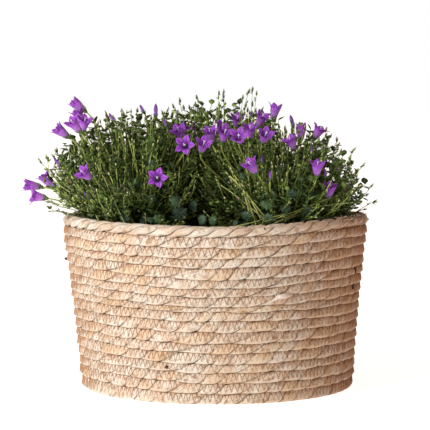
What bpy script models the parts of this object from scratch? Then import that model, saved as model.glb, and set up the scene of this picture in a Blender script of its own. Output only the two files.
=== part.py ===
"""Three bellflower plants in a round coiled rope basket, with its liner and its soil.

Metres, +Z up. The origin is the centre of the basket's foot, on the surface it stands on. The front is -Y.
"""

import math
import random

import bmesh
import bpy
from mathutils import Matrix, Vector

MM = 0.001
GAP = 0.3 * MM  # between pieces that touch
WELD = 0.01 * MM  # corners nearer than this are one
SEED = 11

# The basket, one rope coiled into a floor and a wall of sewn rows
WALL_HEIGHT = 157 * MM
ROWS = 17
TOP_RADIUS = 147.5 * MM
FOOT_RADIUS = 133.5 * MM
FOOT_TUCK = 6 * MM  # how far the lowest row draws in under itself
ROPE_RELIEF = 2.3 * MM  # how far a row bulges beyond its seams
WALL_THICKNESS = 10 * MM
FLARE_POWER = 1.35  # above 1 the wall flares more in its upper half
FLOOR_THICKNESS = 10 * MM
TURN_STEPS = 32

# The thicker rope that finishes the rim, three strands laid together
RIM_RADIUS = 143.5 * MM  # to the rope's middle
STRAND_CREST = 6.0 * MM
STRAND_VALLEY = 4.6 * MM
STRANDS = 3
RIM_TWISTS = 16
STEPS_A_TWIST = 6
SHARP_DEGREES = 35

# The plastic liner and the soil that it holds
LINER_THICKNESS = 0.7 * MM
LINER_TOP = 166 * MM
LINER_MOUTH_RADIUS = 135 * MM
SOIL_TOP = 146 * MM
SOCKET_RADIUS = 16 * MM
SOCKET_DEPTH = 18 * MM
SOCKET_SIDES = 16

# The three plants: where each is rooted, the half sizes of its leafy mound, how far its sprays reach
# sideways and up, the sector it keeps to and how many sprays it has
HUB = Vector((-22 * MM, 18 * MM))  # where the plants' sectors meet, seen from above
PLANTS = {
    "left": {
        "crown": (-74, -28),
        "mound": (45, 63, 74),
        "reach": (98, 122),
        "sector": (150, 270),
        "sprays": 14,
    },
    "right": {
        "crown": (58, -30),
        "mound": (62, 64, 76),
        "reach": (98, 118),
        "sector": (270, 380),
        "sprays": 16,
    },
    "back": {
        "crown": (-2, 80),
        "mound": (68, 40, 82),
        "reach": (98, 138),
        "sector": (20, 150),
        "sprays": 15,
    },
}
LEAVES_A_PLANT = 18
LEAFY_BELOW = 30  # degrees of rise below which a spray ends in a leaf
SECTOR_MARGIN = 2.5 * MM
ROOT_RISE = 12 * MM  # how far the root stub reaches up into the mound
ROOT_SIDES = 12
RIM_CLEARANCE = 5 * MM  # between the rim and what grows past it

# Stems, twigs, buds and leaves
STEM_RADIUS = 1.0 * MM
STEM_STEPS = 3  # straight lengths in a flower's stem
STEM_END = 16 * MM  # the stretch that follows the way its flower or bud faces
TWIG_RADIUS = 0.75 * MM
BUD_RADIUS = 1.5 * MM
BUD_LENGTH = 5 * MM
TIP_RADIUS = 0.35 * MM
LEAF_RADIUS = 8.5 * MM
LEAF_TEETH = 5
LEAF_SPREAD = 146  # degrees, from the middle of a leaf's end to its last tooth
LEAF_NOTCH = 0.78  # the depth between two teeth, as a share of the radius
LEAF_SLIP = 0.4  # how far a leaf's root is back along its stalk, as a share of the radius
LEAF_TURN_UP = 104  # degrees between a stalk's rise and its leaf's face
LEAF_THICKNESS = 0.8 * MM

# The flower, a bell of five lobes
PETALS = 5
BELL_BASE_RADIUS = 1.9 * MM
BELL_MOUTH_RADIUS = 4.8 * MM
BELL_LENGTH = 8.2 * MM
LOBE_LENGTH = 7.8 * MM
LOBE_MIDDLE = 0.45  # where a lobe is widest, as a share of its length
LOBE_HALF_WIDTH = 3.3 * MM
PETAL_THICKNESS = 0.7 * MM
CALYX_RADIUS = 2.3 * MM
CALYX_LENGTH = 3.5 * MM
BLOOM_CLEARANCE = 13.5 * MM  # the ball round a flower that nothing else grows through
BLOOM_SPACING = 27 * MM
LOWEST_FAR_FLOWER = 190 * MM

# Flowers placed as they stand: x, y, z of the base in millimetres, the way they face as a turn from +X
# and a rise above the level in degrees, and the flare of the lobes from the flower's axis in degrees
BLOOMS = {
    "left": [
        (-169, -40, 197, 190, 8, 28),
        (-162, -66, 188, 190, 10, 62),
        (-160, -16, 196, 180, 55, 45),
        (-116, -94, 208, 215, 35, 60),
        (-141, -52, 246, 190, 38, 35),
        (-127, -95, 253, 215, 48, 50),
        (-128, -44, 258, 170, 68, 45),
        (-126, -60, 252, 300, 62, 55),
        (-127, -20, 270, 180, 38, 14),
        (-31, -58, 244, 235, 52, 62),
        (-27, -96, 238, 262, 12, 74),
        (-53, -112, 208, 268, 14, 74),
    ],
    "right": [
        (-13, -84, 233, 290, 48, 58),
        (-3, -50, 241, 240, 68, 50),
        (7, -74, 242, 295, 58, 55),
        (22, -96, 243, 270, 30, 62),
        (33, -58, 244, 275, 70, 50),
        (42, -28, 255, 320, 62, 58),
        (45, -84, 242, 290, 45, 55),
        (57, -14, 262, 20, 80, 38),
        (76, -62, 234, 200, 62, 60),
        (83, -32, 243, 90, 82, 12),
        (96, -24, 243, 350, 58, 62),
        (38, -116, 215, 215, 50, 55),
        (95, -94, 211, 290, 75, 52),
        (107, -74, 189, 290, 65, 40),
    ],
    "back": [
        (-21, 40, 240, 160, 66, 55),
        (3, 46, 243, 320, 60, 58),
        (22, 62, 250, 280, 70, 50),
    ],
}
BACK_BLOOMS = {"left": 3, "right": 3, "back": 6}  # more flowers, on the sides away from the front
BACK_TURNS = {"left": (110, 142), "right": (36, 70), "back": (35, 145)}
BACK_RISES = (16, 44)

# Closed violet buds on stems of their own: x, y, z of the base in millimetres, turn and rise in degrees,
# and length in millimetres
VIOLET_BUDS = {
    "left": [
        (-148, -40, 217, 180, 45, 10),
        (-153, -58, 198, 185, 50, 9),
        (-96, -64, 261, 180, 58, 9),
        (-68, -40, 268, 180, 62, 9),
        (-57, -36, 264, 90, 88, 13),
        (-46, -62, 255, 170, 70, 9),
        (-118, -100, 190, 200, 52, 8),
    ],
    "right": [
        (51, -112, 208, 85, 80, 9),
        (44, -90, 222, 80, 80, 9),
        (76, -20, 254, 170, 75, 12),
        (92, -58, 229, 80, 85, 8),
        (105, -62, 206, 85, 82, 9),
        (128, -48, 192, 60, 80, 9),
    ],
    "back": [
        (-38, 66, 254, 130, 75, 9),
        (36, 84, 258, 60, 70, 10),
        (-14, 108, 262, 100, 70, 9),
    ],
}

ROPE_COLOUR = (0.62, 0.43, 0.25, 1)
RIM_COLOUR = (0.68, 0.50, 0.32, 1)
LINER_COLOUR = (0.30, 0.34, 0.42, 1)
SOIL_COLOUR = (0.05, 0.032, 0.024, 1)
GREEN_COLOUR = (0.10, 0.20, 0.045, 1)
VIOLET_COLOUR = (0.36, 0.09, 0.62, 1)


def clear_scene():
    for obj in list(bpy.data.objects):
        bpy.data.objects.remove(obj, do_unlink=True)


def new_collection(name):
    collection = bpy.data.collections.new(name)
    bpy.context.scene.collection.children.link(collection)
    return collection


def material(name, colour, roughness):
    made = bpy.data.materials.new(name)
    made.use_nodes = True
    shader = made.node_tree.nodes["Principled BSDF"]
    shader.inputs["Base Color"].default_value = colour
    shader.inputs["Roughness"].default_value = roughness
    shader.inputs["Metallic"].default_value = 0.0
    return made


def add_object(name, data, collection, finish=None):
    obj = bpy.data.objects.new(name, data)
    collection.objects.link(obj)
    if finish is not None:
        data.materials.append(finish)
    return obj


def mesh_from(name, bm):
    mesh = bpy.data.meshes.new(name)
    bm.to_mesh(mesh)
    bm.free()
    return mesh


def turned(name, profile, collection, finish):
    """A profile of (radius, height) points swept round the Z axis."""
    mesh = bpy.data.meshes.new(name)
    points = [(radius, 0, height) for radius, height in profile]
    mesh.from_pydata(points, [(i, i + 1) for i in range(len(points) - 1)], [])
    obj = add_object(name, mesh, collection, finish)
    screw = obj.modifiers.new("turn", "SCREW")
    screw.steps = screw.render_steps = TURN_STEPS
    screw.use_merge_vertices = True
    screw.merge_threshold = WELD
    screw.use_smooth_shade = True
    return obj


def wall_radius(height):
    """The wall's outer radius at its seams: it flares more in its upper half."""
    share = max(0.0, min(1.0, height / WALL_HEIGHT))
    return FOOT_RADIUS - ROPE_RELIEF + (TOP_RADIUS - FOOT_RADIUS) * share**FLARE_POWER


def basket(collection, finish):
    """Floor and wall in one coiled rope. Each row is a bulge between two sewn seams."""
    row = WALL_HEIGHT / ROWS
    inside = [
        (0, FLOOR_THICKNESS),
        (wall_radius(FLOOR_THICKNESS) + ROPE_RELIEF - WALL_THICKNESS, FLOOR_THICKNESS),
        (wall_radius(WALL_HEIGHT) + ROPE_RELIEF - WALL_THICKNESS, WALL_HEIGHT),
    ]
    outside = []
    for index in range(ROWS):
        top = WALL_HEIGHT - index * row
        outside.append((wall_radius(top), top))
        for share in (0.3, 0.7):
            height = top - share * row
            outside.append((wall_radius(height) + ROPE_RELIEF, height))
    foot = [(FOOT_RADIUS - FOOT_TUCK, 0), (0, 0)]
    return turned("basket", inside + outside + foot, collection, finish)


def rim_rope(collection, finish):
    """A torus whose section is three strands, turned as it goes round."""
    steps = RIM_TWISTS * STEPS_A_TWIST
    sides = 2 * STRANDS
    bpy.ops.mesh.primitive_torus_add(
        major_segments=steps,
        minor_segments=sides,
        major_radius=RIM_RADIUS,
        minor_radius=STRAND_CREST,
    )
    rope = bpy.context.object
    rope.name = rope.data.name = "rim_rope"
    lowest = STRAND_CREST * math.sin(math.tau / sides)  # how far its lowest corners are below its middle
    middle = WALL_HEIGHT + GAP + lowest
    for vertex in rope.data.vertices:
        step, side = divmod(vertex.index, sides)
        around = math.tau * step / steps
        lay = math.tau * side / sides + math.tau * step / STEPS_A_TWIST
        radius = STRAND_CREST if side % 2 == 0 else STRAND_VALLEY
        out = RIM_RADIUS + radius * math.cos(lay)
        vertex.co = (out * math.cos(around), out * math.sin(around), middle + radius * math.sin(lay))
    for old in list(rope.users_collection):
        old.objects.unlink(rope)
    collection.objects.link(rope)
    rope.data.materials.append(finish)
    rope.data.shade_smooth()
    rope.data.set_sharp_from_angle(angle=math.radians(SHARP_DEGREES))
    return rope


def liner_radius(height):
    """The liner's outer radius, just inside the wall and drawn in at its mouth."""
    bottom = wall_radius(FLOOR_THICKNESS) + ROPE_RELIEF - WALL_THICKNESS - GAP
    share = (height - FLOOR_THICKNESS) / (LINER_TOP - FLOOR_THICKNESS)
    return bottom + (LINER_MOUTH_RADIUS - bottom) * share


def liner(collection, finish):
    """An open cup of film, given its thickness inwards."""
    floor = FLOOR_THICKNESS + GAP
    profile = [(liner_radius(LINER_TOP), LINER_TOP), (liner_radius(floor), floor), (0, floor)]
    cup = turned("liner", profile, collection, finish)
    shell = cup.modifiers.new("thickness", "SOLIDIFY")
    shell.thickness = LINER_THICKNESS
    shell.offset = -1
    shell.use_even_offset = True
    return cup


def crown(plant):
    x, y = PLANTS[plant]["crown"]
    return Vector((x * MM, y * MM, SOIL_TOP))


def soil(collection, cutters, finish):
    """A block of soil that fills the liner, with a plain hole where each plant is rooted."""
    bottom = FLOOR_THICKNESS + GAP + LINER_THICKNESS + GAP
    inset = LINER_THICKNESS + 2 * GAP
    bm = bmesh.new()
    bmesh.ops.create_cone(
        bm,
        cap_ends=True,
        segments=TURN_STEPS,
        radius1=liner_radius(bottom) - inset,
        radius2=liner_radius(SOIL_TOP) - inset,
        depth=SOIL_TOP - bottom,
        matrix=Matrix.Translation((0, 0, (SOIL_TOP + bottom) / 2)),
    )
    block = add_object("soil", mesh_from("soil", bm), collection, finish)
    for plant in PLANTS:
        bm = bmesh.new()
        bmesh.ops.create_cone(
            bm,
            cap_ends=True,
            segments=SOCKET_SIDES,
            radius1=SOCKET_RADIUS,
            radius2=SOCKET_RADIUS,
            depth=2 * SOCKET_DEPTH,
            matrix=Matrix.Translation(crown(plant)),
        )
        hole = add_object("hole_" + plant, mesh_from("hole_" + plant, bm), cutters)
        hole.hide_render = True
        hole.display_type = "WIRE"
        cut = block.modifiers.new("hole_" + plant, "BOOLEAN")
        cut.operation = "DIFFERENCE"
        cut.object = hole
    return block


def direction(turn, rise):
    turn = math.radians(turn)
    rise = math.radians(rise)
    return Vector((math.cos(turn) * math.cos(rise), math.sin(turn) * math.cos(rise), math.sin(rise)))


def frame_along(axis, origin=Vector((0, 0, 0))):
    """A matrix that stands +Z along axis at origin."""
    return Matrix.Translation(origin) @ axis.to_track_quat("Z", "Y").to_matrix().to_4x4()


def in_sector(plant, point, margin=SECTOR_MARGIN):
    """Whether a point is within its plant's sector, and clear of the rim."""
    start, end = PLANTS[plant]["sector"]
    flat = Vector((point.x, point.y)) - HUB
    for angle, sign in ((start, 1), (end, -1)):
        ray = Vector((math.cos(math.radians(angle)), math.sin(math.radians(angle))))
        if sign * ray.cross(flat) < margin:
            return False
    out = math.hypot(point.x, point.y)
    rim_top = WALL_HEIGHT + 2 * STRAND_CREST
    if point.z < rim_top + RIM_CLEARANCE:
        return out < RIM_RADIUS - STRAND_CREST - RIM_CLEARANCE and point.z > SOIL_TOP + 2 * STEM_RADIUS
    return True


def bezier(points, share):
    """A point on the curve of any order that these points control."""
    while len(points) > 1:
        points = [a.lerp(b, share) for a, b in zip(points, points[1:])]
    return points[0]


def scaled(vector, sizes):
    return Vector([part * size * MM for part, size in zip(vector, sizes)])


def in_mound(plant, point, scale=1.0):
    away = point - crown(plant)
    shares = [part / (size * MM * scale) for part, size in zip(away, PLANTS[plant]["mound"])]
    return Vector(shares).length < 1


def reach_to(plant, turn, rise, share=1.0):
    """Where a spray of this plant ends when it leans this way."""
    side, up = PLANTS[plant]["reach"]
    return crown(plant) + scaled(direction(turn, rise), (side, side, up)) * share


def leaving_share(plant, controls):
    """How far along a stem is where it comes out of the leafy mound, less a root."""
    share = 0.0
    while share < 0.8 and in_mound(plant, bezier(controls, share), 0.8):
        share += 0.02
    return share


def stem_controls(plant, tip, facing, drift):
    """A stem rises from the crown, leans out, and ends at its tip along facing."""
    root = crown(plant)
    away = tip - root
    start = root + Vector((away.x * 0.2, away.y * 0.2, 6 * MM))
    rise = Vector((away.x * 0.15, away.y * 0.15, away.z * 0.5)) + drift
    return [start, start + rise, tip - facing * STEM_END, tip]


def along_knots(knots, step=4 * MM):
    """Points at an even spacing along the straight lines between knots."""
    points = [knots[0]]
    for a, b in zip(knots, knots[1:]):
        count = max(1, math.ceil((b - a).length / step))
        points += [a.lerp(b, i / count) for i in range(1, count + 1)]
    return points


class Thicket:
    """The flowers' places and their stems, which keep clear of every other flower and of the other plants."""

    def __init__(self, seed):
        self.random = random.Random(seed)
        self.balls = []
        self.flowers = []
        self.paths = []

    def is_clear(self, plant, knots, own=None, clearance=BLOOM_CLEARANCE):
        for point in along_knots(knots):
            if not in_sector(plant, point):
                return False
            for index, ball in enumerate(self.balls):
                if index != own and (point - ball).length < clearance:
                    return False
        return True

    def stem(self, plant, tip, facing, own=None, tries=80, steps=STEM_STEPS):
        """The control points of a clear stem to tip, or None."""
        for attempt in range(tries):
            sway = attempt * 0.9 * MM
            drift = Vector([self.random.uniform(-sway, sway) for _ in range(3)])
            controls = stem_controls(plant, tip, facing, drift)
            if self.is_clear(plant, self.path(plant, controls, steps), own):
                return controls
        return None

    def path(self, plant, controls, steps=STEM_STEPS):
        """A stem's knots, from where it leaves the mound."""
        first = leaving_share(plant, controls)
        return [bezier(controls, first + (1 - first) * i / steps) for i in range(steps + 1)]

    def add_flowers(self, wanted):
        """Places flowers, each (plant, base, facing, flare), and grows their stems, if each has a way."""
        first = len(self.balls)
        self.balls += [base + facing * BELL_LENGTH for _, base, facing, _ in wanted]
        for index, (owner, base, facing, flare) in enumerate(wanted, first):
            waist = base - facing * (GAP + CALYX_LENGTH)
            controls = self.stem(owner, waist, facing, own=index)
            if controls is None:
                del self.balls[first:]
                return False
            self.flowers.append((index, owner, base, facing, flare, controls))
            self.paths += along_knots(self.path(owner, controls))
        return True

    def add_far_flower(self, plant):
        """Tries one place on the plant's far side for a flower clear of every flower and stem."""
        low, high = BACK_TURNS[plant]
        turn = self.random.uniform(low, high)
        rise = self.random.uniform(*BACK_RISES)
        facing = direction(turn, min(80, rise + self.random.uniform(5, 20)))
        base = reach_to(plant, turn, rise, 0.92)
        middle = base + facing * BELL_LENGTH
        if not in_sector(plant, middle, BLOOM_CLEARANCE) or middle.z < LOWEST_FAR_FLOWER:
            return False
        if any((middle - ball).length < BLOOM_SPACING for ball in self.balls):
            return False
        if any((middle - point).length < BLOOM_CLEARANCE for point in self.paths):
            return False
        return self.add_flowers([(plant, base, facing, self.random.uniform(35, 70))])


def tube(name, points, radii, section, collection):
    """A three-sided tapered tube along points, as a curve with filled caps."""
    curve = bpy.data.curves.new(name, "CURVE")
    curve.dimensions = "3D"
    curve.bevel_mode = "OBJECT"
    curve.bevel_object = section
    curve.use_fill_caps = True
    spline = curve.splines.new("POLY")
    spline.points.add(len(points) - 1)
    for knot, point, radius in zip(spline.points, points, radii):
        knot.co = (*point, 1)
        knot.radius = radius / MM
    return add_object(name, curve, collection)


def section_curve(collection):
    """The triangle that tubes are drawn with, 1 mm in radius."""
    curve = bpy.data.curves.new("section", "CURVE")
    curve.dimensions = "2D"
    spline = curve.splines.new("POLY")
    spline.points.add(2)
    spline.use_cyclic_u = True
    for index, knot in enumerate(spline.points):
        angle = math.tau * index / 3
        knot.co = (MM * math.cos(angle), MM * math.sin(angle), 0, 1)
    obj = add_object("section", curve, collection)
    obj.hide_render = True
    return obj


def leaf_outline():
    """A kidney of rounded teeth round its middle, open towards the stalk."""
    points = [(0, 0.35 * LEAF_RADIUS)]
    last = 2 * LEAF_TEETH
    for index in range(last + 1):
        angle = math.radians(LEAF_SPREAD * (2 * index / last - 1))
        radius = LEAF_RADIUS * (1.0 if index % 2 else LEAF_NOTCH)
        points.append((radius * math.sin(angle), LEAF_RADIUS * 0.95 + radius * math.cos(angle)))
    return points


def leaf(name, root, growth, out, collection):
    """A toothed leaf whose blade lies along growth, with its face towards out."""
    curve = bpy.data.curves.new(name, "CURVE")
    curve.dimensions = "2D"
    curve.fill_mode = "BOTH"
    curve.extrude = LEAF_THICKNESS / 2
    outline = leaf_outline()
    spline = curve.splines.new("POLY")
    spline.points.add(len(outline) - 1)
    spline.use_cyclic_u = True
    for knot, (x, y) in zip(spline.points, outline):
        knot.co = (x, y, 0, 1)
    side = growth.cross(out).normalized()
    face = side.cross(growth).normalized()
    obj = add_object(name, curve, collection)
    obj.matrix_world = Matrix.Translation(root) @ Matrix((side, growth, face)).transposed().to_4x4()
    return obj


def mound(plant, rng):
    """The dome of packed leaves that a plant's stems and leaves stand out of."""
    bm = bmesh.new()
    bmesh.ops.create_icosphere(bm, subdivisions=2, radius=1)
    for vertex in bm.verts:
        ripple = rng.uniform(0.9, 1.06)
        vertex.co = scaled(vertex.co, PLANTS[plant]["mound"]) * ripple
    bmesh.ops.translate(bm, verts=bm.verts, vec=crown(plant))
    floor = Vector((0, 0, SOIL_TOP + GAP))
    everything = bm.verts[:] + bm.edges[:] + bm.faces[:]
    bmesh.ops.bisect_plane(bm, geom=everything, plane_co=floor, plane_no=(0, 0, -1), clear_outer=True)
    bmesh.ops.holes_fill(bm, edges=[edge for edge in bm.edges if edge.is_boundary])
    bmesh.ops.recalc_face_normals(bm, faces=bm.faces)
    return mesh_from("plant_" + plant, bm)


def root_stub(plant, collection):
    """The stub of crown and roots that stands in the soil's hole."""
    length = SOCKET_DEPTH - GAP + ROOT_RISE
    bm = bmesh.new()
    bmesh.ops.create_cone(
        bm,
        cap_ends=True,
        segments=ROOT_SIDES,
        radius1=SOCKET_RADIUS - 2 * GAP,
        radius2=SOCKET_RADIUS - 2 * GAP,
        depth=length,
        matrix=Matrix.Translation(crown(plant) + Vector((0, 0, ROOT_RISE - length / 2))),
    )
    return add_object("root_stub", mesh_from("root_stub", bm), collection)


def bloom_stems(plant, thicket, section, pieces):
    """A stem with a calyx under each of the plant's flowers."""
    for index, owner, base, facing, _, controls in thicket.flowers:
        if owner != plant:
            continue
        path = thicket.path(plant, controls)
        radii = [STEM_RADIUS] * STEM_STEPS + [STEM_RADIUS * 0.9, CALYX_RADIUS]
        tube(f"stem_{index}", path + [base - facing * GAP], radii, section, pieces)


def bud_stems(plant, thicket, section, pieces):
    """A stem under each closed violet bud, and the bud, which swells and comes to a point."""
    for number, (x, y, z, turn, rise, length) in enumerate(VIOLET_BUDS[plant]):
        base = Vector((x, y, z)) * MM
        facing = direction(turn, rise)
        controls = thicket.stem(plant, base, facing, steps=2)
        if controls is None:
            continue
        path = thicket.path(plant, controls, steps=2)
        path += [base + facing * length * MM * share for share in (0.4, 1.0)]
        radii = [STEM_RADIUS, STEM_RADIUS * 0.9, STEM_RADIUS * 0.8, BUD_RADIUS * 1.3, TIP_RADIUS]
        if thicket.is_clear(plant, path[2:]):
            tube(f"bud_stem_{number}", path, radii, section, pieces)


def spray_tip(plant, thicket, tips):
    """Of a few clear places for a spray's tip, the one farthest from the tips so far."""
    rng = thicket.random
    best = None
    for _ in range(60):
        turn = rng.uniform(0, 360)
        rise = math.degrees(math.asin(rng.uniform(0.12, 0.99)))
        tip = reach_to(plant, turn, rise, rng.uniform(0.88, 1.0))
        facing = direction(turn, min(88, rise + 14))
        leafy = rise < LEAFY_BELOW
        end = [tip, tip + facing * (LEAF_RADIUS * 1.7 if leafy else BUD_LENGTH)]
        clearance = BLOOM_CLEARANCE + (LEAF_RADIUS if leafy else 0)
        if not in_sector(plant, tip, LEAF_RADIUS) or not thicket.is_clear(plant, end, clearance=clearance):
            continue
        controls = thicket.stem(plant, tip, facing, tries=2, steps=2)
        if controls is None:
            continue
        room = min([(tip - other).length for other in tips] or [1.0])
        if best is None or room > best[0]:
            best = (room, tip, facing, turn, rise, controls)
    return best


def twigs(thicket, plant, number, path, section, pieces):
    """Side twigs on a spray, each with a bud of its own."""
    rng = thicket.random
    for twig, share in enumerate((0.35, 0.75)):
        foot = path[1].lerp(path[2], share)
        along = (path[2] - path[1]).normalized()
        side = along.cross(direction(rng.uniform(0, 360), 20)).normalized()
        way = (along * 0.85 + side * rng.uniform(0.45, 0.7)).normalized()
        length = rng.uniform(10, 15) * MM
        knots = [foot] + [foot + way * (length + share * BUD_LENGTH) for share in (0, 0.5, 1)]
        if thicket.is_clear(plant, knots):
            slim = [TWIG_RADIUS, TWIG_RADIUS * 0.7, BUD_RADIUS * 0.85, TIP_RADIUS]
            tube(f"twig_{number}_{twig}", knots, slim, section, pieces)


def sprays(plant, thicket, section, pieces):
    """The upright stems: the high ones end in a bud and carry twigs, the low ones end in a leaf."""
    tips = []
    for number in range(PLANTS[plant]["sprays"]):
        found = spray_tip(plant, thicket, tips)
        if found is None:
            continue
        _, tip, facing, turn, rise, controls = found
        tips.append(tip)
        path = thicket.path(plant, controls, steps=2)
        if rise < LEAFY_BELOW:
            tube(f"stalk_{number}", path, [STEM_RADIUS, STEM_RADIUS, TWIG_RADIUS], section, pieces)
            root = tip - facing * LEAF_RADIUS * LEAF_SLIP
            out = direction(turn, rise + LEAF_TURN_UP)
            leaf(f"tip_leaf_{number}", root, facing, out, pieces)
            continue
        path += [tip + facing * BUD_LENGTH * 0.4, tip + facing * BUD_LENGTH]
        radii = [STEM_RADIUS, STEM_RADIUS * 0.85, STEM_RADIUS * 0.6, BUD_RADIUS * 0.9, TIP_RADIUS]
        tube(f"spray_{number}", path, radii, section, pieces)
        twigs(thicket, plant, number, path, section, pieces)


def mound_leaves(plant, thicket, pieces):
    """Toothed leaves standing out of the mound, spread evenly from its skirt to its top."""
    rng = thicket.random
    made = 0
    for number in range(LEAVES_A_PLANT * 3):
        if made == LEAVES_A_PLANT:
            return
        turn = number * 137.508
        lift = 16 + 62 * (number % LEAVES_A_PLANT) / LEAVES_A_PLANT
        normal = direction(turn, lift)
        root = crown(plant) + scaled(normal, PLANTS[plant]["mound"]) * 0.8
        hang = direction(turn + rng.uniform(-40, 40), lift - 70)
        growth = (normal * 0.8 + hang * 0.62).normalized()
        side = growth.cross(normal).normalized() * LEAF_RADIUS
        corners = [root + growth * LEAF_RADIUS * 2, root + growth * LEAF_RADIUS + side]
        corners.append(root + growth * LEAF_RADIUS - side)
        if all(thicket.is_clear(plant, [corner], clearance=BLOOM_CLEARANCE) for corner in corners):
            leaf(f"leaf_{number}", root, growth, normal, pieces)
            made += 1


def as_meshes(pieces, keep):
    """Turns a collection's curves into closed meshes, so that a Boolean can take them."""
    bpy.context.view_layer.update()
    graph = bpy.context.evaluated_depsgraph_get()
    for obj in [piece for piece in pieces.objects if piece.type == "CURVE" and piece is not keep]:
        mesh = bpy.data.meshes.new_from_object(obj.evaluated_get(graph))
        bm = bmesh.new()
        bm.from_mesh(mesh)
        bmesh.ops.remove_doubles(bm, verts=bm.verts, dist=0.001 * MM)
        bmesh.ops.recalc_face_normals(bm, faces=bm.faces)
        bm.to_mesh(mesh)
        bm.free()
        solid = add_object(obj.name + "_solid", mesh, pieces)
        solid.matrix_world = obj.matrix_world
        bpy.data.objects.remove(obj, do_unlink=True)


def plant(name, thicket, collection, cutters, section, finish):
    """One plant: its mound, stub, leaves, sprays and flower stems joined in one solid."""
    rng = random.Random(f"{name} mound {SEED}")
    body = add_object("plant_" + name, mound(name, rng), collection, finish)
    pieces = bpy.data.collections.new("pieces_" + name)
    cutters.children.link(pieces)
    root_stub(name, pieces)
    bloom_stems(name, thicket, section, pieces)
    bud_stems(name, thicket, section, pieces)
    mound_leaves(name, thicket, pieces)
    sprays(name, thicket, section, pieces)
    as_meshes(pieces, section)
    join = body.modifiers.new("join", "BOOLEAN")
    join.operation = "UNION"
    join.operand_type = "COLLECTION"
    join.collection = pieces
    join.solver = "MANIFOLD"
    bpy.context.view_layer.update()
    graph = bpy.context.evaluated_depsgraph_get()
    joined = bpy.data.meshes.new_from_object(body.evaluated_get(graph))
    body.modifiers.clear()
    body.data = joined
    for obj in list(pieces.objects):
        bpy.data.objects.remove(obj, do_unlink=True)
    bpy.data.collections.remove(pieces)
    return body


def petal_points(flare):
    """One petal with its fifth of the tube: its base and throat, then its lobe's sides and tip."""
    half = math.pi / PETALS
    lean = math.radians(flare)
    out = math.sin(lean)
    up = math.cos(lean)
    corners = [(BELL_BASE_RADIUS, -half, 0), (BELL_BASE_RADIUS, half, 0)]
    corners += [(BELL_MOUTH_RADIUS, -half, BELL_LENGTH), (BELL_MOUTH_RADIUS, half, BELL_LENGTH)]
    points = [Vector((radius * math.cos(a), radius * math.sin(a), z)) for radius, a, z in corners]
    edge = BELL_MOUTH_RADIUS * math.cos(half)
    middle = LOBE_MIDDLE * LOBE_LENGTH
    for side in (-1, 1):
        points.append(Vector((edge + out * middle, side * LOBE_HALF_WIDTH, BELL_LENGTH + up * middle)))
    points.append(Vector((edge + out * LOBE_LENGTH, 0, BELL_LENGTH + up * LOBE_LENGTH)))
    return points


def bloom(name, base, facing, flare, collection, finish):
    """A bell of five lobes: one petal repeated round the axis, closed at the base and given its thickness."""
    bm = bmesh.new()
    corners = [bm.verts.new(point) for point in petal_points(flare)]
    left_base, right_base, left_gap, right_gap, left_side, right_side, tip = corners
    bm.faces.new((left_base, right_base, right_gap, left_gap))
    bm.faces.new((left_gap, right_gap, right_side, tip, left_side))
    petal = bm.verts[:] + bm.edges[:] + bm.faces[:]
    bmesh.ops.spin(
        bm, geom=petal, cent=(0, 0, 0), axis=(0, 0, 1), angle=math.tau, steps=PETALS, use_duplicate=True
    )
    bmesh.ops.remove_doubles(bm, verts=bm.verts, dist=WELD)
    border = [edge for edge in bm.edges if edge.is_boundary]
    bottom = [edge for edge in border if all(abs(corner.co.z) < WELD for corner in edge.verts)]
    bmesh.ops.holes_fill(bm, edges=bottom)
    bmesh.ops.triangulate(bm, faces=bm.faces)
    flower = add_object(name, mesh_from(name, bm), collection, finish)
    flower.matrix_world = frame_along(facing, base)
    wall = flower.modifiers.new("thickness", "SOLIDIFY")
    wall.thickness = PETAL_THICKNESS
    wall.offset = -1
    return flower


def main():
    clear_scene()
    model = new_collection("potted_bellflower")
    cutters = new_collection("cutters")
    cutters.hide_render = True
    rope = material("rope", ROPE_COLOUR, 0.85)
    green = material("leaf_green", GREEN_COLOUR, 0.6)
    violet = material("petal_violet", VIOLET_COLOUR, 0.55)
    basket(model, rope)
    rim_rope(model, material("rim_rope", RIM_COLOUR, 0.8))
    liner(model, material("liner_film", LINER_COLOUR, 0.35))
    soil(model, cutters, material("soil", SOIL_COLOUR, 0.95))
    section = section_curve(cutters)
    thicket = Thicket(SEED)
    wanted = []
    for name in PLANTS:
        for x, y, z, turn, rise, flare in BLOOMS[name]:
            wanted.append((name, Vector((x, y, z)) * MM, direction(turn, rise), flare))
    if not thicket.add_flowers(wanted):
        raise ValueError("a placed flower has no clear stem")
    for name in PLANTS:
        count = len(thicket.flowers) + BACK_BLOOMS[name]
        for _ in range(3000):
            if len(thicket.flowers) < count:
                thicket.add_far_flower(name)
    for name in PLANTS:
        plant(name, thicket, model, cutters, section, green)
    for index, owner, base, facing, flare, _ in thicket.flowers:
        bloom(f"bloom_{owner}_{index + 1:02d}", base, facing, flare, model, violet)


main()
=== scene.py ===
import math

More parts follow.
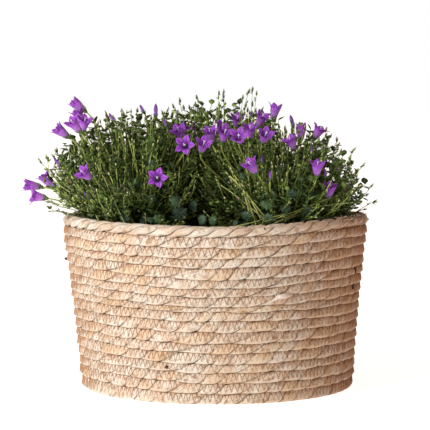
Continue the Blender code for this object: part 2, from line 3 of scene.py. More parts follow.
import bmesh
import bpy
import numpy as np
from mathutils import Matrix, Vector


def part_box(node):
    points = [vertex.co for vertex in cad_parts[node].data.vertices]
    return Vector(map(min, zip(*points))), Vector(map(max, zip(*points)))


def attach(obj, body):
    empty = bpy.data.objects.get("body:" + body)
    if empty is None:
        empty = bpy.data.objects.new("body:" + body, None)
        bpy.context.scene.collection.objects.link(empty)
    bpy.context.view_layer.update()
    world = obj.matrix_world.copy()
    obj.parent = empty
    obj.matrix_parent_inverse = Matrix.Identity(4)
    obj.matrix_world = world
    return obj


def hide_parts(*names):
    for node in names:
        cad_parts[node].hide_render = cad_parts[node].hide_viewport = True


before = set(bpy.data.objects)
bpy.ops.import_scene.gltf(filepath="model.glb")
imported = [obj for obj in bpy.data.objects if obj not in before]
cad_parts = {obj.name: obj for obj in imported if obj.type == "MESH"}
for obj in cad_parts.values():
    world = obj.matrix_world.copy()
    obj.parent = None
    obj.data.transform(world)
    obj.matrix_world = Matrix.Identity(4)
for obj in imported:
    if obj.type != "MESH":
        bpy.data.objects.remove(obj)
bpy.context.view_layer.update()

# The basket is one thick rope of twisted dry leaf, coiled into a floor and then up into a wall of seventeen
# rows. The leaf is cream to peach and fibrous, and its twisted strands slant up to the right. Each row steps
# up to the next at the back, where the photograph doesn't show it.
MM = 0.001
ROPE_DEPTH = 10 * MM  # from the wall's outside to its inside
FOOT_RADIUS = 133.5 * MM
TOP_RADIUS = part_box("basket")[1].x
WALL_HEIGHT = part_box("basket")[1].z
FLARE_POWER = 1.35
ROWS = 17
ROW_HEIGHT = WALL_HEIGHT / ROWS
# The heights of the seams from the foot up, in millimetres, at some turns from the front in degrees to the
# right. One row is squeezed thin at the front, and the wall is a little higher at its sides.
SEAMS_EVEN = [row / ROWS * WALL_HEIGHT / MM for row in range(ROWS + 1)]
SEAMS_LEFT = (
    0, 13.5, 24.5, 33, 42.5, 52.5, 60.5, 70.5, 80.2,
    90.2, 96.5, 105.5, 113.4, 122.8, 133.2, 140.5, 150.1, 158.8,
)
SEAMS_FRONT = (
    0, 10.5, 20.4, 30.1, 38.3, 48.5, 57.6, 68.5, 79.2,
    87.4, 92.4, 101.2, 109.2, 117.9, 128.7, 137.3, 147.3, 157.2,
)
SEAMS_RIGHT = (
    0, 11, 19.5, 30.5, 39, 49.5, 58.4, 68.4, 77.3,
    86.8, 94.8, 104.3, 113.3, 121.4, 131.8, 141.7, 151.2, 160.4,
)
SEAM_STATIONS = (
    (-180, SEAMS_EVEN), (-115, SEAMS_EVEN), (-62, SEAMS_LEFT), (0, SEAMS_FRONT),
    (58, SEAMS_RIGHT), (115, SEAMS_EVEN), (180, SEAMS_EVEN),
)
SEAM_WAVER = 0.35 * MM
SEAM_WAVES = (5, 20)  # how often a seam wavers in a turn
ROW_OVERLAP = 1.12
ROW_TILT = 0.6 * MM  # how far a row's foot stands out from its middle, over the row below
SECTION_DEGREES = (-130, -88, -66, -42, -16, 12, 40, 64, 88, 130)
SECTION_OUT = 0.42  # below 1 flattens the rope's face
SECTION_UP = 0.9
STEP_UP = 0.05  # of a turn, on either side of the back, in which a row steps up
STRAND_SPACING = 24 * MM
STRAND_WAVES = ((1.93, 0, 0.19), (0.77, 2, 0.3), (0.21, 0, 0.7))  # uneven spacing: rate, phase and size
STRAND_SLANT = 0.8  # how many strands a boundary crosses from the foot of a row to its top
STRAND_COLUMNS = (0, 0.05, 0.15, 0.32, 0.53, 0.75, 0.92)  # across a strand, from boundary to boundary
STRAND_RELIEF = 1.8 * MM
STRAND_UNEVEN = 0.5 * MM
STRAND_ENDS = 0.72  # how high a strand is at its ends, as a share of its middle
WALL_PROUD = (0.2 * MM, 1.8 * MM)  # how far the leaf stands out from the CAD wall, at its foot and its top
WALL_LEAN = 2.0 * MM  # how far the foot stands to the right of the top
COIL_STEPS = 2000  # a turn
FLOOR_TURNS = 12
FLOOR_STEPS = 72
FLOOR_SECTION = (-150, -90, -30, 30, 90, 150)
FOOT_TUCK = 5 * MM
rng = np.random.default_rng(41)


class Heap:
    """Corners, faces and the values painted on the corners, gathered for one mesh."""

    def __init__(self):
        self.corners = []
        self.faces = []
        self.values = {}
        self.count = 0

    def add(self, corners, faces, **values):
        """Adds corners and faces. A value is one number or vector for all the corners, or a row for each."""
        corners = np.asarray(corners, float).reshape(-1, 3)
        self.faces.append(np.asarray(faces) + self.count)
        self.corners.append(corners)
        self.count += len(corners)
        for key, rows in values.items():
            rows = np.asarray(rows, float)
            shared = rows.ndim < 2 and rows.size in (1, 3)
            rows = rows.reshape(1 if shared else len(corners), -1)
            full = np.broadcast_to(rows, (len(corners), rows.shape[1]))
            self.values.setdefault(key, []).append(full)

    def mesh(self, name, finish, weld=0.0):
        """The mesh of everything added, shaded smooth."""
        made = bpy.data.meshes.new(name)
        faces = [face for block in self.faces for face in block.tolist()]
        made.from_pydata(np.concatenate(self.corners).tolist(), [], faces)
        for key, blocks in self.values.items():
            rows = np.concatenate(blocks)
            kind, field = ("FLOAT", "value") if rows.shape[1] == 1 else ("FLOAT_VECTOR", "vector")
            made.attributes.new(key, kind, "POINT").data.foreach_set(field, rows.ravel())
        if weld:
            bm = bmesh.new()
            bm.from_mesh(made)
            bmesh.ops.remove_doubles(bm, verts=bm.verts, dist=weld)
            bm.to_mesh(made)
            bm.free()
        made.shade_smooth()
        made.materials.append(finish)
        return made


def grid_faces(rows, columns, closed=False):
    """Four-cornered faces over a grid of corners, joined across its last column where it is closed."""
    number = np.arange(rows * columns).reshape(rows, columns)
    if closed:
        number = np.hstack([number, number[:, :1]])
    corners = (number[:-1, :-1], number[:-1, 1:], number[1:, 1:], number[1:, :-1])
    return np.stack(corners, axis=-1).reshape(-1, 4)


def place(name, mesh, slot, *nodes):
    """Puts a piece on the row's one body and hides the nodes that it stands for. Its slot is not used."""
    piece = bpy.data.objects.new(name, mesh)
    bpy.context.scene.collection.objects.link(piece)
    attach(piece, "root")
    if nodes:
        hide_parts(*nodes)


class Value:
    """A shader value. Arithmetic on it adds Math nodes."""

    def __init__(self, finish, socket):
        self.finish = finish
        self.socket = socket

    def math(self, operation, *operands):
        return self.finish.node("Math", {"operation": operation}, dict(enumerate(operands)))

    def __add__(self, other):
        return self.math("ADD", self, other)

    def __sub__(self, other):
        return self.math("SUBTRACT", self, other)

    def __rsub__(self, other):
        return self.math("SUBTRACT", other, self)

    def __mul__(self, other):
        return self.math("MULTIPLY", self, other)

    def __abs__(self):
        return self.math("ABSOLUTE", self)

    __radd__ = __add__
    __rmul__ = __mul__

    def floor(self):
        return self.math("FLOOR", self)

    def fract(self):
        return self.math("FRACT", self)

    def between(self, low, high):
        """0 at low and below, 1 at high and above."""
        limits = {"Value": self, "From Min": low, "From Max": high}
        return self.finish.node("MapRange", {"interpolation_type": "SMOOTHSTEP"}, limits)


class Finish:
    """A material whose nodes are added one at a time."""

    def __init__(self, name, constants):
        self.material = bpy.data.materials.new(name)
        self.material.use_nodes = True
        self.tree = self.material.node_tree
        self.shader = self.tree.nodes["Principled BSDF"]
        for key, value in constants.items():
            self.shader.inputs[key].default_value = value

    def node(self, kind, settings=None, sockets=None, output=0):
        """Adds a node, sets it up, and gives one of its outputs."""
        made = self.tree.nodes.new("ShaderNode" + kind)
        for key, value in (settings or {}).items():
            setattr(made, key, value)
        for key, value in (sockets or {}).items():
            self.feed(made.inputs[key], value)
        return Value(self, made.outputs[output])

    def feed(self, socket, value):
        if isinstance(value, Value):
            self.tree.links.new(value.socket, socket)
        else:
            socket.default_value = value

    def painted(self, name):
        """The value painted on the mesh under a name."""
        return self.node("Attribute", {"attribute_name": name}, output="Fac")

    def painted_vector(self, name):
        return self.node("Attribute", {"attribute_name": name}, output="Vector")

    def parts(self, vector):
        """The three numbers of a vector."""
        split = self.node("SeparateXYZ", None, {0: vector}).socket.node
        return [Value(self, socket) for socket in split.outputs]

    def vector(self, x, y, z):
        return self.node("CombineXYZ", None, {0: x, 1: y, 2: z})

    def spot(self):
        """Where the surface is on the object, in metres."""
        return self.node("TexCoord", output="Object")

    def mix(self, factor, a, b):
        """Colours mixed by a factor."""
        return self.node("Mix", {"data_type": "RGBA"}, {0: factor, 6: a, 7: b}, output=2)

    def noise(self, scale, detail=2.0, vector=None):
        spot = vector or self.spot()
        return self.node("TexNoise", None, {"Scale": scale, "Detail": detail, "Vector": spot})

    def chance(self, vector):
        """A random number for each whole vector."""
        return self.node("TexWhiteNoise", {"noise_dimensions": "3D"}, {"Vector": vector})

    def paint(self, colour=None, roughness=None, height=None, depth=1 * MM):
        """Feeds the shader's colour and roughness, and its normal from a height."""
        if colour is not None:
            self.feed(self.shader.inputs["Base Color"], colour)
        if roughness is not None:
            self.feed(self.shader.inputs["Roughness"], roughness)
        if height is not None:
            bump = self.node("Bump", None, {"Height": height, "Distance": depth, "Strength": 1.0})
            self.feed(self.shader.inputs["Normal"], bump)
        return self.material


def rgb(red, green, blue):
    """A colour as it shows on a screen, from 0 to 255, in the shader's linear numbers."""
    return tuple(((part / 255 + 0.055) / 1.055) ** 2.4 for part in (red, green, blue)) + (1.0,)


def smooth(share):
    share = np.clip(share, 0, 1)
    return share * share * (3 - 2 * share)


def wall_radius(height):
    """The wall's outside, which flares more in its upper half."""
    share = np.clip(height / WALL_HEIGHT, 0, 1)
    return FOOT_RADIUS + (TOP_RADIUS - FOOT_RADIUS) * share**FLARE_POWER


seam_turns = np.array([turn for turn, _ in SEAM_STATIONS])
seam_table = np.array([seams for _, seams in SEAM_STATIONS]) * MM
seam_waves = rng.integers(*SEAM_WAVES, (ROWS + 1, 2)), rng.uniform(0, math.tau, (ROWS + 1, 2))


def seam_height(level, angle):
    """The height of the seam under a level, which wavers a little from side to side."""
    level = np.clip(level, 0, ROWS)
    under = np.floor(level).astype(int)
    over = np.clip(under + 1, 0, ROWS)
    from_front = (np.degrees(angle) - 90) % 360 - 180
    place = np.interp(from_front, seam_turns, np.arange(len(seam_turns)))
    station = np.clip(np.floor(place).astype(int), 0, len(seam_turns) - 2)
    beside = smooth(place - station)
    heights = []
    for row in (under, over):
        wave = sum(np.sin(seam_waves[0][row, i] * angle + seam_waves[1][row, i]) for i in (0, 1))
        even = seam_table[station, row] * (1 - beside) + seam_table[station + 1, row] * beside
        heights.append(even + wave * SEAM_WAVER * ((row > 0) & (row < ROWS)))
    share = level - under
    return heights[0] * (1 - share) + heights[1] * share


def coil_level(turn):
    """The row that the rope is in at a turn. It steps up at the back, where the turns are whole numbers."""
    row = np.floor(turn)
    share = turn - row
    late = smooth((share - 1 + STEP_UP) / (2 * STEP_UP))
    early = smooth((share + STEP_UP) / (2 * STEP_UP)) - 1
    return row + np.where(share > 0.5, late, early)


strand_shift = np.cumsum(rng.uniform(0.2, 0.8, ROWS + 1))


def strand_lay(turn):
    """Counts the strands along the coil's middle. Whole numbers are the boundaries, unevenly spaced."""
    arc = turn * math.tau * TOP_RADIUS / STRAND_SPACING
    arc = arc + np.interp(coil_level(turn), np.arange(ROWS + 1), strand_shift)
    lay = arc
    for rate, phase, size in STRAND_WAVES:
        lay = lay + np.sin(arc * rate + phase) * size
    return lay


STRANDS_DRAWN = 4096
strand_swell = rng.uniform(-1, 1, STRANDS_DRAWN)
strand_cut = rng.uniform(0.25, 1, STRANDS_DRAWN)


def wall_points(turn, lean, proud=0.0):
    """Points on the coiled rope: turn counts its turns, and lean goes up round its section from outwards."""
    angle = math.tau * (turn + 0.25)
    level = coil_level(turn)
    low = seam_height(level, angle)
    high = seam_height(level + 1, angle)
    middle = (high + low) / 2
    lay = strand_lay(turn) - STRAND_SLANT * lean / math.pi
    share = lay - np.floor(lay)
    crest = np.sqrt(np.sin(math.pi * share))
    swell = strand_swell[np.floor(lay).astype(int) % STRANDS_DRAWN] * STRAND_UNEVEN
    cut = strand_cut[np.round(lay).astype(int) % STRANDS_DRAWN]
    half = (high - low) / 2 * ROW_OVERLAP * (1 - (1 - STRAND_ENDS) * cut * (1 - crest))
    top = seam_height(np.full_like(angle, ROWS), angle)
    half = np.where(lean > 0, np.minimum(half, top - middle), np.minimum(half, middle))
    thick = smooth((high - low) / ROW_HEIGHT * 1.2 + 0.2)  # a squeezed row is a thinner rope
    facing = np.clip(np.cos(lean) + 0.4, 0, 1)
    tuck = FOOT_TUCK * smooth(1 - middle / ROW_HEIGHT)
    outside = wall_radius(middle) + WALL_PROUD[0] + (WALL_PROUD[1] - WALL_PROUD[0]) * middle / WALL_HEIGHT
    outside += facing * (swell - cut * STRAND_RELIEF * (1 - crest)) - tuck * 0.5
    deep = ROPE_DEPTH / 2
    out = np.sign(np.cos(lean)) * np.abs(np.cos(lean)) ** SECTION_OUT
    up = np.sign(np.sin(lean)) * np.abs(np.sin(lean)) ** SECTION_UP
    radius = outside - deep + deep * out * thick - ROW_TILT * up * (out > 0) + proud * np.cos(lean)
    height = np.maximum(middle + half * up + proud * np.sin(lean), 0)
    shift = WALL_LEAN * (1 - height / WALL_HEIGHT)
    return np.stack([radius * np.cos(angle) + shift, radius * np.sin(angle), height], axis=-1)


coil_turns = np.linspace(-STEP_UP, ROWS + STEP_UP, ROWS * COIL_STEPS)
coil_lays = strand_lay(coil_turns)
first, last = math.ceil(coil_lays[0] + STRAND_SLANT), math.floor(coil_lays[-1] - STRAND_SLANT)
columns = (np.arange(first, last)[:, None] + STRAND_COLUMNS).ravel()
lays, leans = np.meshgrid(columns, np.radians(SECTION_DEGREES), indexing="ij")
turns = np.interp(lays + STRAND_SLANT * leans / math.pi, coil_lays, coil_turns)
wall = Heap()
wall.add(
    wall_points(turns, leans),
    grid_faces(*turns.shape, closed=True),
    lay=lays.ravel(),
    across=np.sin(leans).ravel(),
    row=coil_level(turns).ravel(),
)
floor_turns = np.linspace(0, FLOOR_TURNS, FLOOR_TURNS * FLOOR_STEPS + 1)
turns, leans = np.meshgrid(floor_turns, np.radians(FLOOR_SECTION), indexing="ij")
floor_pitch = (FOOT_RADIUS - ROPE_DEPTH / 2) / FLOOR_TURNS
floor_radius = np.maximum(turns * floor_pitch + floor_pitch / 2 * np.cos(leans) * ROW_OVERLAP, 0)
floor_height = ROPE_DEPTH / 2 * (1 + np.sin(leans))
floor_x = floor_radius * np.cos(math.tau * turns)
floor_y = floor_radius * np.sin(math.tau * turns)
wall.add(
    np.stack([floor_x, floor_y, floor_height], axis=-1),
    grid_faces(*turns.shape, closed=True),
    lay=(turns**2 * 3 - leans / math.pi).ravel(),
    across=np.sin(leans).ravel(),
    row=turns.ravel(),
)

LEAF_CREAM = rgb(223, 215, 200)
LEAF_PEACH = rgb(215, 193, 169)
LEAF_HONEY = rgb(218, 184, 138)
RIGHT_SHADE_BROWN = rgb(150, 95, 46)  # painted shade, browner on the basket's right side, away from the key light
SHADED_LEAF = rgb(140, 98, 66)
# Painted shade, laid into the creases between the strands and the seams between the rows
CREASE_SHADE_COLOUR = rgb(92, 60, 40)
PATCH_SCALE = 70.0
STAIN_SCALE = 190.0
DASH_SCALE = 55.0
RIGHT_SHADE_FROM = 20 * MM  # to the right of the middle
RIGHT_SHADE_TO = 170 * MM
LEAF_BUMP = 0.8 * MM


def dry_leaf(name, crease, grain, strand, streaks):
    """Dry plant leaf, with painted shade. crease is 1 at a strand's edge; grain runs across the fibres, then
    along them.
    """
    finish = Finish(name, {"IOR": 1.42})
    crease = crease(finish)
    grain = grain(finish)
    tone = finish.chance(strand(finish))
    fibres = finish.noise(streaks, 3.0, grain)
    patches = finish.noise(PATCH_SCALE, 3.0)
    stains = finish.noise(STAIN_SCALE, 4.0)
    leaf = finish.mix(patches.between(0.35, 0.65), LEAF_CREAM, LEAF_PEACH)
    leaf = finish.mix(tone.between(0.6, 1.0) * 0.45, leaf, LEAF_HONEY)
    # Painted shade: the leaf turns browner towards the right, away from the key light
    right_shade = finish.parts(finish.spot())[0].between(RIGHT_SHADE_FROM, RIGHT_SHADE_TO)
    leaf = finish.mix(right_shade * (0.52 + patches * 0.68), leaf, RIGHT_SHADE_BROWN)
    worn = finish.mix(fibres.between(0.6, 0.3) * 0.5 + stains.between(0.52, 0.7) * 0.5, leaf, SHADED_LEAF)
    # Painted shade: the leaf darkens at its creases and seams
    crease_shaded = finish.mix(crease * 0.85, worn, CREASE_SHADE_COLOUR)
    rough = 0.62 + fibres * 0.25
    height = fibres * 0.5 + patches * 0.8 - crease
    return finish.paint(crease_shaded, rough, height, LEAF_BUMP)


def wall_crease_shade(finish):
    """Painted shade: up to 1 at a strand's edge, weaker at some and stronger low on the row, and in dashes
    along the seams between the rows.
    """
    lay = finish.painted("lay")
    edge = abs(lay.fract() * 2 - 1)
    number = finish.vector((lay + 0.5).floor(), 7.3, 1.9)
    strength = finish.chance(number)
    across = finish.painted("across")
    low = across.between(0.3, -0.9)
    seam = abs(across).between(0.9, 1.0)
    dashes = finish.noise(DASH_SCALE, 1.0).between(0.45, 0.65)
    boundary = edge.between(0.86, 1.0) * (0.1 + strength * 0.4 + low * 0.6)
    return boundary + seam * (0.08 + dashes * 0.7 + edge.between(0.6, 0.95) * 0.5)


def wall_grain(finish):
    return finish.vector(finish.painted("lay") * 1.6, finish.painted("across") * 0.16, finish.painted("row"))


def wall_strand(finish):
    return finish.vector(finish.painted("lay").floor(), 0.0, 0.0)


rope_leaf = dry_leaf("dry_leaf_wall", wall_crease_shade, wall_grain, wall_strand, 9.0)
place("basket_coil", wall.mesh("basket_coil", rope_leaf), "rope", "basket")

# The stitching is a thin brown thread that sews each row to the one above it, in a zigzag over the row's
# upper part. Its colour is painted paler at the left, a painted highlight where the light falls on it.
STITCH = 5.6 * MM
# Shares of a stitch, and how far up round the rope's section the thread lies there, in degrees
STITCH_SHAPE = ((0, 80), (0.06, 54), (0.17, 30), (0.5, -26), (0.83, 30), (0.94, 54))
THREAD_RADIUS = 0.3 * MM
THREAD_PROUD = 0.34 * MM
THREAD_SINKS = 0.3 * MM  # it bites into the leaf in places, and stands clear in others
TWINE_BROWN = rgb(186, 134, 96)
TWINE_DARK = rgb(150, 100, 66)
TWINE_LIT = rgb(206, 166, 130)


def unit(vectors):
    return vectors / np.maximum(np.linalg.norm(vectors, axis=-1, keepdims=True), 1e-12)


def tube(heap, path, radii, sides, beside=None, **values):
    """A tapered tube along a path, closed at both ends."""
    path = np.asarray(path, float)
    ahead = unit(np.gradient(path, axis=0))
    if beside is None:
        beside = np.eye(3)[np.argmin(np.abs(ahead.mean(0)))]
    first = unit(np.cross(ahead, beside))
    second = np.cross(ahead, first)
    angles = np.arange(sides) * math.tau / sides
    ring = np.cos(angles)[:, None] * first[:, None] + np.sin(angles)[:, None] * second[:, None]
    corners = path[:, None] + ring * np.broadcast_to(radii, len(path))[:, None, None]
    faces = grid_faces(len(path), sides, closed=True)
    last = (len(path) - 1) * sides
    for key, rows in values.items():
        rows = np.asarray(rows, float)
        if rows.ndim == 2:
            values[key] = np.repeat(rows, sides, axis=0)
    heap.add(corners, faces, **values)
    ends = np.array([range(sides)[::-1], range(last, last + sides)])
    heap.faces.append(ends + heap.count - len(path) * sides)


stitch_count = int(ROWS * math.tau * TOP_RADIUS / STITCH)
stitch_shares, stitch_leans = np.array(STITCH_SHAPE).T
knots = (np.arange(stitch_count)[:, None] + stitch_shares).ravel()
stitch_turns = STEP_UP + (ROWS - 2 * STEP_UP) * knots / stitch_count
stitch_shifts = np.repeat(rng.uniform(-0.12, 0.12, stitch_count), len(STITCH_SHAPE))
stitch_turns += stitch_shifts / stitch_count * ROWS
stitch_tilts = np.repeat(rng.uniform(-8, 5, stitch_count), len(STITCH_SHAPE))
stitch_leans = np.radians(np.resize(stitch_leans, len(knots)) + stitch_tilts)
thread_proud = THREAD_PROUD + THREAD_SINKS * np.sin(knots * 0.33) * np.sin(knots * 0.148 + 1)
thread_path = wall_points(stitch_turns, stitch_leans, thread_proud)
thread = Heap()
tube(thread, thread_path, THREAD_RADIUS, 3, beside=thread_path * (1, 1, 0))
twine = Finish("brown_thread", {"Roughness": 0.8})
twine_tone = twine.noise(400.0, 2.0)
# Painted highlight: the thread turns paler towards the left, where the key light falls
lit_at_left = twine.parts(twine.spot())[0].between(-60 * MM, -140 * MM)
twine_colour = twine.mix(lit_at_left * 0.5, twine.mix(twine_tone, TWINE_BROWN, TWINE_DARK), TWINE_LIT)
twine.paint(twine_colour, height=twine_tone, depth=0.2 * MM)
place("stitching", thread.mesh("stitching", twine.material), "rope")

# Loose ends of the leaf hang out of the wall: fibres that have worked free all over it, one frayed white husk
# end with a tongue at the front, a nub at the left, a brown knot low down, and two dark hooked ends.
LOOSE_FIBRES = 150
FIBRE_LENGTHS = (3, 8)  # in millimetres
FIBRE_RADII = np.array([0.22, 0.18, 0.08]) * MM
HUSK_FIBRES = 26
HUSK_RADII = np.array([0.5, 0.5, 0.15]) * MM
HUSK_SPOT = (293.7, 100.8)  # degrees round the basket and millimetres up, as are the next ones
TONGUE_LENGTH = 17 * MM
TONGUE_RADII = np.array([1.5, 2.2, 2.5, 2.5, 2.2, 1.6, 0.7]) * MM
STUBS = (((180, 123.5), 1.6, 2.8), ((250, 35), 1.7, 1.4))  # the nub and the knot: spot, radius and reach
STUB_TAPER = np.array([1.0, 0.9, 0.5])
STUB_TONE = 0.05
HOOK_SPOTS = ((338, 117.5), (337.6, 102))
HOOK_BENDS = np.array([(-1.6, 3), (1.2, 2.2), (1.6, 0), (0.6, -3)]) * MM
HOOK_RADII = np.array([0.6, 1.1, 1.1, 0.5]) * MM
HUSK_DARK = rgb(64, 38, 26)
HUSK_BROWN = rgb(150, 104, 72)
HUSK_WHITE = rgb(248, 240, 230)


def wall_spot(turn, height):
    """A point on the wall's outside, and the ways out and along the row from there."""
    seams = seam_height(np.arange(ROWS + 1), np.full(ROWS + 1, math.tau * (turn + 0.25)))
    row = np.searchsorted(seams, height) - 1
    spot = wall_points(np.array([row + turn]), np.array([0.0]), 0.2 * MM)[0]
    spot[2] = height
    out = unit(spot * (1, 1, 0))
    return spot, out, np.cross((0, 0, 1), out)


def spot_at(degrees, height):
    return wall_spot(degrees / 360 - 0.25, height * MM)


fibres = Heap()
for _ in range(LOOSE_FIBRES):
    spot, out, along = wall_spot(rng.uniform(0, 1), rng.uniform(0.06, 0.97) * WALL_HEIGHT)
    way = along * rng.choice((-1, 1)) + np.array([0, 0, rng.normal(0, 0.5)])
    length = rng.uniform(*FIBRE_LENGTHS) * MM
    middle = spot + way * length * 0.5 + out * 0.5 * MM
    end = spot + way * length + out * rng.uniform(0.5, 2.2) * MM
    tube(fibres, [spot, middle, end], FIBRE_RADII, 3, tone=rng.uniform(0.3, 1))
spot, out, along = spot_at(*HUSK_SPOT)
for _ in range(HUSK_FIBRES):
    way = along * rng.normal(-0.4, 0.5) + np.array([0, 0, rng.normal(-0.1, 0.42)])
    middle = spot + way * 2.5 * MM + out * 1.2 * MM
    end = spot + way * rng.uniform(3, 6) * MM + out * 1.4 * MM
    tube(fibres, [spot, middle, end], HUSK_RADII, 4, tone=1.0)
shares = np.linspace(0, 1, len(TONGUE_RADII))[:, None]
tongue = spot + along * shares * TONGUE_LENGTH + out * (0.3 - 1.4 * shares**2) * MM + (0, 0, 1 * MM) * shares
tube(fibres, tongue, TONGUE_RADII, 8, tone=0.75 - 0.4 * shares)
for place_on_wall, radius, reach in STUBS:
    spot, out, along = spot_at(*place_on_wall)
    path = [spot - out * 1 * MM, spot + out * reach * 0.6 * MM, spot + (out + along * 0.2) * reach * MM]
    tube(fibres, path, STUB_TAPER * radius * MM, 7, tone=STUB_TONE)
for place_on_wall in HOOK_SPOTS:
    spot, out, along = spot_at(*place_on_wall)
    path = [spot + out * 0.3 * MM + along * x + (0, 0, z) for x, z in HOOK_BENDS]
    tube(fibres, path, HOOK_RADII, 5, tone=0.0)
husk = Finish("loose_fibre", {"Roughness": 0.85})
husk_tone = husk.noise(500.0, 2.0)
husk_light = husk.painted("tone")
husk_brown = husk.mix(husk_light.between(0.0, 0.3), HUSK_DARK, HUSK_BROWN)
husk_colour = husk.mix(husk_light.between(0.1, 1.0) * (0.6 + husk_tone * 0.4), husk_brown, HUSK_WHITE)
husk.paint(husk_colour, height=husk_tone, depth=0.2 * MM)
place("loose_fibres", fibres.mesh("loose_fibres", husk.material), "rope")

# The rim is a thicker rope of three broad strands of the same leaf, laid together and sewn along the wall's
# top. It rises and dips with the wall, and creases part its strands, darkened with painted shade.
RIM_STRANDS = 3
RIM_TWISTS = 16
RIM_STEPS = 576
RIM_SIDES = 24
RIM_RADIUS = 143.8 * MM
RIM_CREST = 6.0 * MM
RIM_CREASE = 0.34  # how far the creases cut in, as a share of the crest
RIM_CREASE_POWER = 3.2  # the higher it is, the narrower they are
RIM_UNEVEN = 0.2 * MM
RIM_SWELLS = (7, 19)  # how often a strand swells in a turn
# Where the creases cross the rim's foot at the front, in degrees to the right of its middle
RIM_CROSSINGS = (
    -57.6, -51, -44.3, -35.8, -26.8, -18.2, -11.8, -5, 2.1, 9.1, 16, 23.7, 32.7, 40, 49, 57.3, 63.2,
)
RIM_FOOT = -60  # degrees up the rope's section, as below
RIM_FACE = 5  # where a crease crosses the rope most steeply
RIM_SWING = 0.24
rim_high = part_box("rim_rope")[1]
rim_middle = rim_high.z - RIM_CREST

steps, sides = np.meshgrid(np.arange(RIM_STEPS), np.arange(RIM_SIDES), indexing="ij")
around = math.tau * steps / RIM_STEPS
own_angle = math.tau * sides / RIM_SIDES
far_count = RIM_STRANDS * RIM_TWISTS - len(RIM_CROSSINGS) + 2
far_crossings = np.linspace(RIM_CROSSINGS[-1], RIM_CROSSINGS[0] + 360, far_count)[1:]
crossings = np.append(RIM_CROSSINGS, far_crossings)
from_first = (np.degrees(around) - 270 - crossings[0]) % 360 + crossings[0]
strands_crossed = np.interp(from_first, crossings, np.arange(len(crossings)))
twist = np.radians(RIM_FOOT) + strands_crossed * math.tau / RIM_STRANDS
lay_angle = own_angle + twist + RIM_SWING * np.sin(RIM_STRANDS * (twist - np.radians(RIM_FACE)))
strand_number = sides // (RIM_SIDES // RIM_STRANDS)
from_middle = np.abs(2 * (sides / (RIM_SIDES // RIM_STRANDS) % 1) - 1)
swells = [rng.uniform(0, math.tau, RIM_STRANDS) for _ in RIM_SWELLS]
swelling = sum(np.sin(around * rate + swell[strand_number]) for rate, swell in zip(RIM_SWELLS, swells))
section = RIM_CREST * (1 - RIM_CREASE * from_middle**RIM_CREASE_POWER) - RIM_UNEVEN * (2 - swelling)
rim_radius = RIM_RADIUS + section * np.cos(lay_angle)
rim_lift = seam_height(np.full(around.shape, ROWS), around) - WALL_HEIGHT
rim_height = rim_middle + rim_lift + section * np.sin(lay_angle)
rim = Heap()
rim.add(
    np.stack([rim_radius * np.cos(around), rim_radius * np.sin(around), rim_height], axis=-1),
    grid_faces(RIM_STEPS + 1, RIM_SIDES, closed=True) % (RIM_STEPS * RIM_SIDES),
    crease=from_middle.ravel(),
    grain=np.stack([np.cos(own_angle), np.sin(own_angle), strand_number], axis=-1).reshape(-1, 3),
)


def rim_crease_shade(finish):
    """Painted shade between two strands, darkest low on the rope, where they turn in under it."""
    # Painted shade, stronger towards the rope's underside
    low = finish.parts(finish.spot())[2].between(rim_middle + 6 * MM, rim_middle - 3 * MM)
    return finish.painted("crease").between(0.84, 1.0) * (0.3 + low * 0.7)


def rim_grain(finish):
    """Round the strand, and slowly along the basket's circle."""
    x, y, _ = finish.parts(finish.painted_vector("grain"))
    along_x, along_y, _ = finish.parts(finish.spot())
    return finish.vector(x * 0.5 + along_x * 2.2, y * 0.5 + along_y * 2.2, along_x * 1.5)


def rim_strand(finish):
    return finish.vector(finish.parts(finish.painted_vector("grain"))[2].floor(), 0.0, 0.0)


rim_leaf = dry_leaf("dry_leaf_rim", rim_crease_shade, rim_grain, rim_strand, 12.0)
place("rim_strands", rim.mesh("rim_strands", rim_leaf), "rim_rope", "rim_rope")

# The rim's right end has frayed into a pale fuzz of leaf fibres that stand up from its strands. One strand
# has a small hole at the front, drawn as a dark plug of painted shade.
FUZZ_FIBRES = 120
FUZZ_RADII = np.array([0.32, 0.28, 0.12]) * MM
FUZZ_LENGTHS = (1.5, 4)  # in millimetres
FUZZ_TURNS = (322, 356)  # in degrees round the basket
FUZZ_RISES = (-20, 130)  # in degrees up the rope's section
HOLE_SHADE = (287.8, 25)  # the same turn and rise
HOLE_SHADE_RADIUS = 0.8 * MM


def rim_spot(turn, rise):
    """A point on the rim's outside, and the ways out and along from there."""
    turn, rise = math.radians(turn), math.radians(rise)
    level = np.array([turn])
    middle = rim_middle + seam_height(np.full(1, ROWS), level)[0] - WALL_HEIGHT
    flat = np.array([math.cos(turn), math.sin(turn), 0])
    out = flat * math.cos(rise) + (0, 0, math.sin(rise))
    return flat * RIM_RADIUS + (0, 0, middle) + out * (RIM_CREST - 0.6 * MM), out, np.cross((0, 0, 1), flat)


fuzz = Heap()
for _ in range(FUZZ_FIBRES):
    spot, out, along = rim_spot(rng.uniform(*FUZZ_TURNS), rng.uniform(*FUZZ_RISES))
    way = unit(along * rng.normal(0, 1) + out * 0.5 + rng.normal(0, 0.4, 3))
    length = rng.uniform(*FUZZ_LENGTHS) * MM
    path = [spot, spot + way * length * 0.5 + out * 0.4 * MM, spot + way * length]
    tube(fuzz, path, FUZZ_RADII, 3, tone=rng.uniform(0.45, 0.75))
# A dark plug of painted shade stands for the hole
spot, out, along = rim_spot(*HOLE_SHADE)
tube(fuzz, [spot - out * 1 * MM, spot + out * 0.75 * MM], HOLE_SHADE_RADIUS, 8, tone=0.0)
place("rim_fuzz", fuzz.mesh("rim_fuzz", husk.material), "rope")

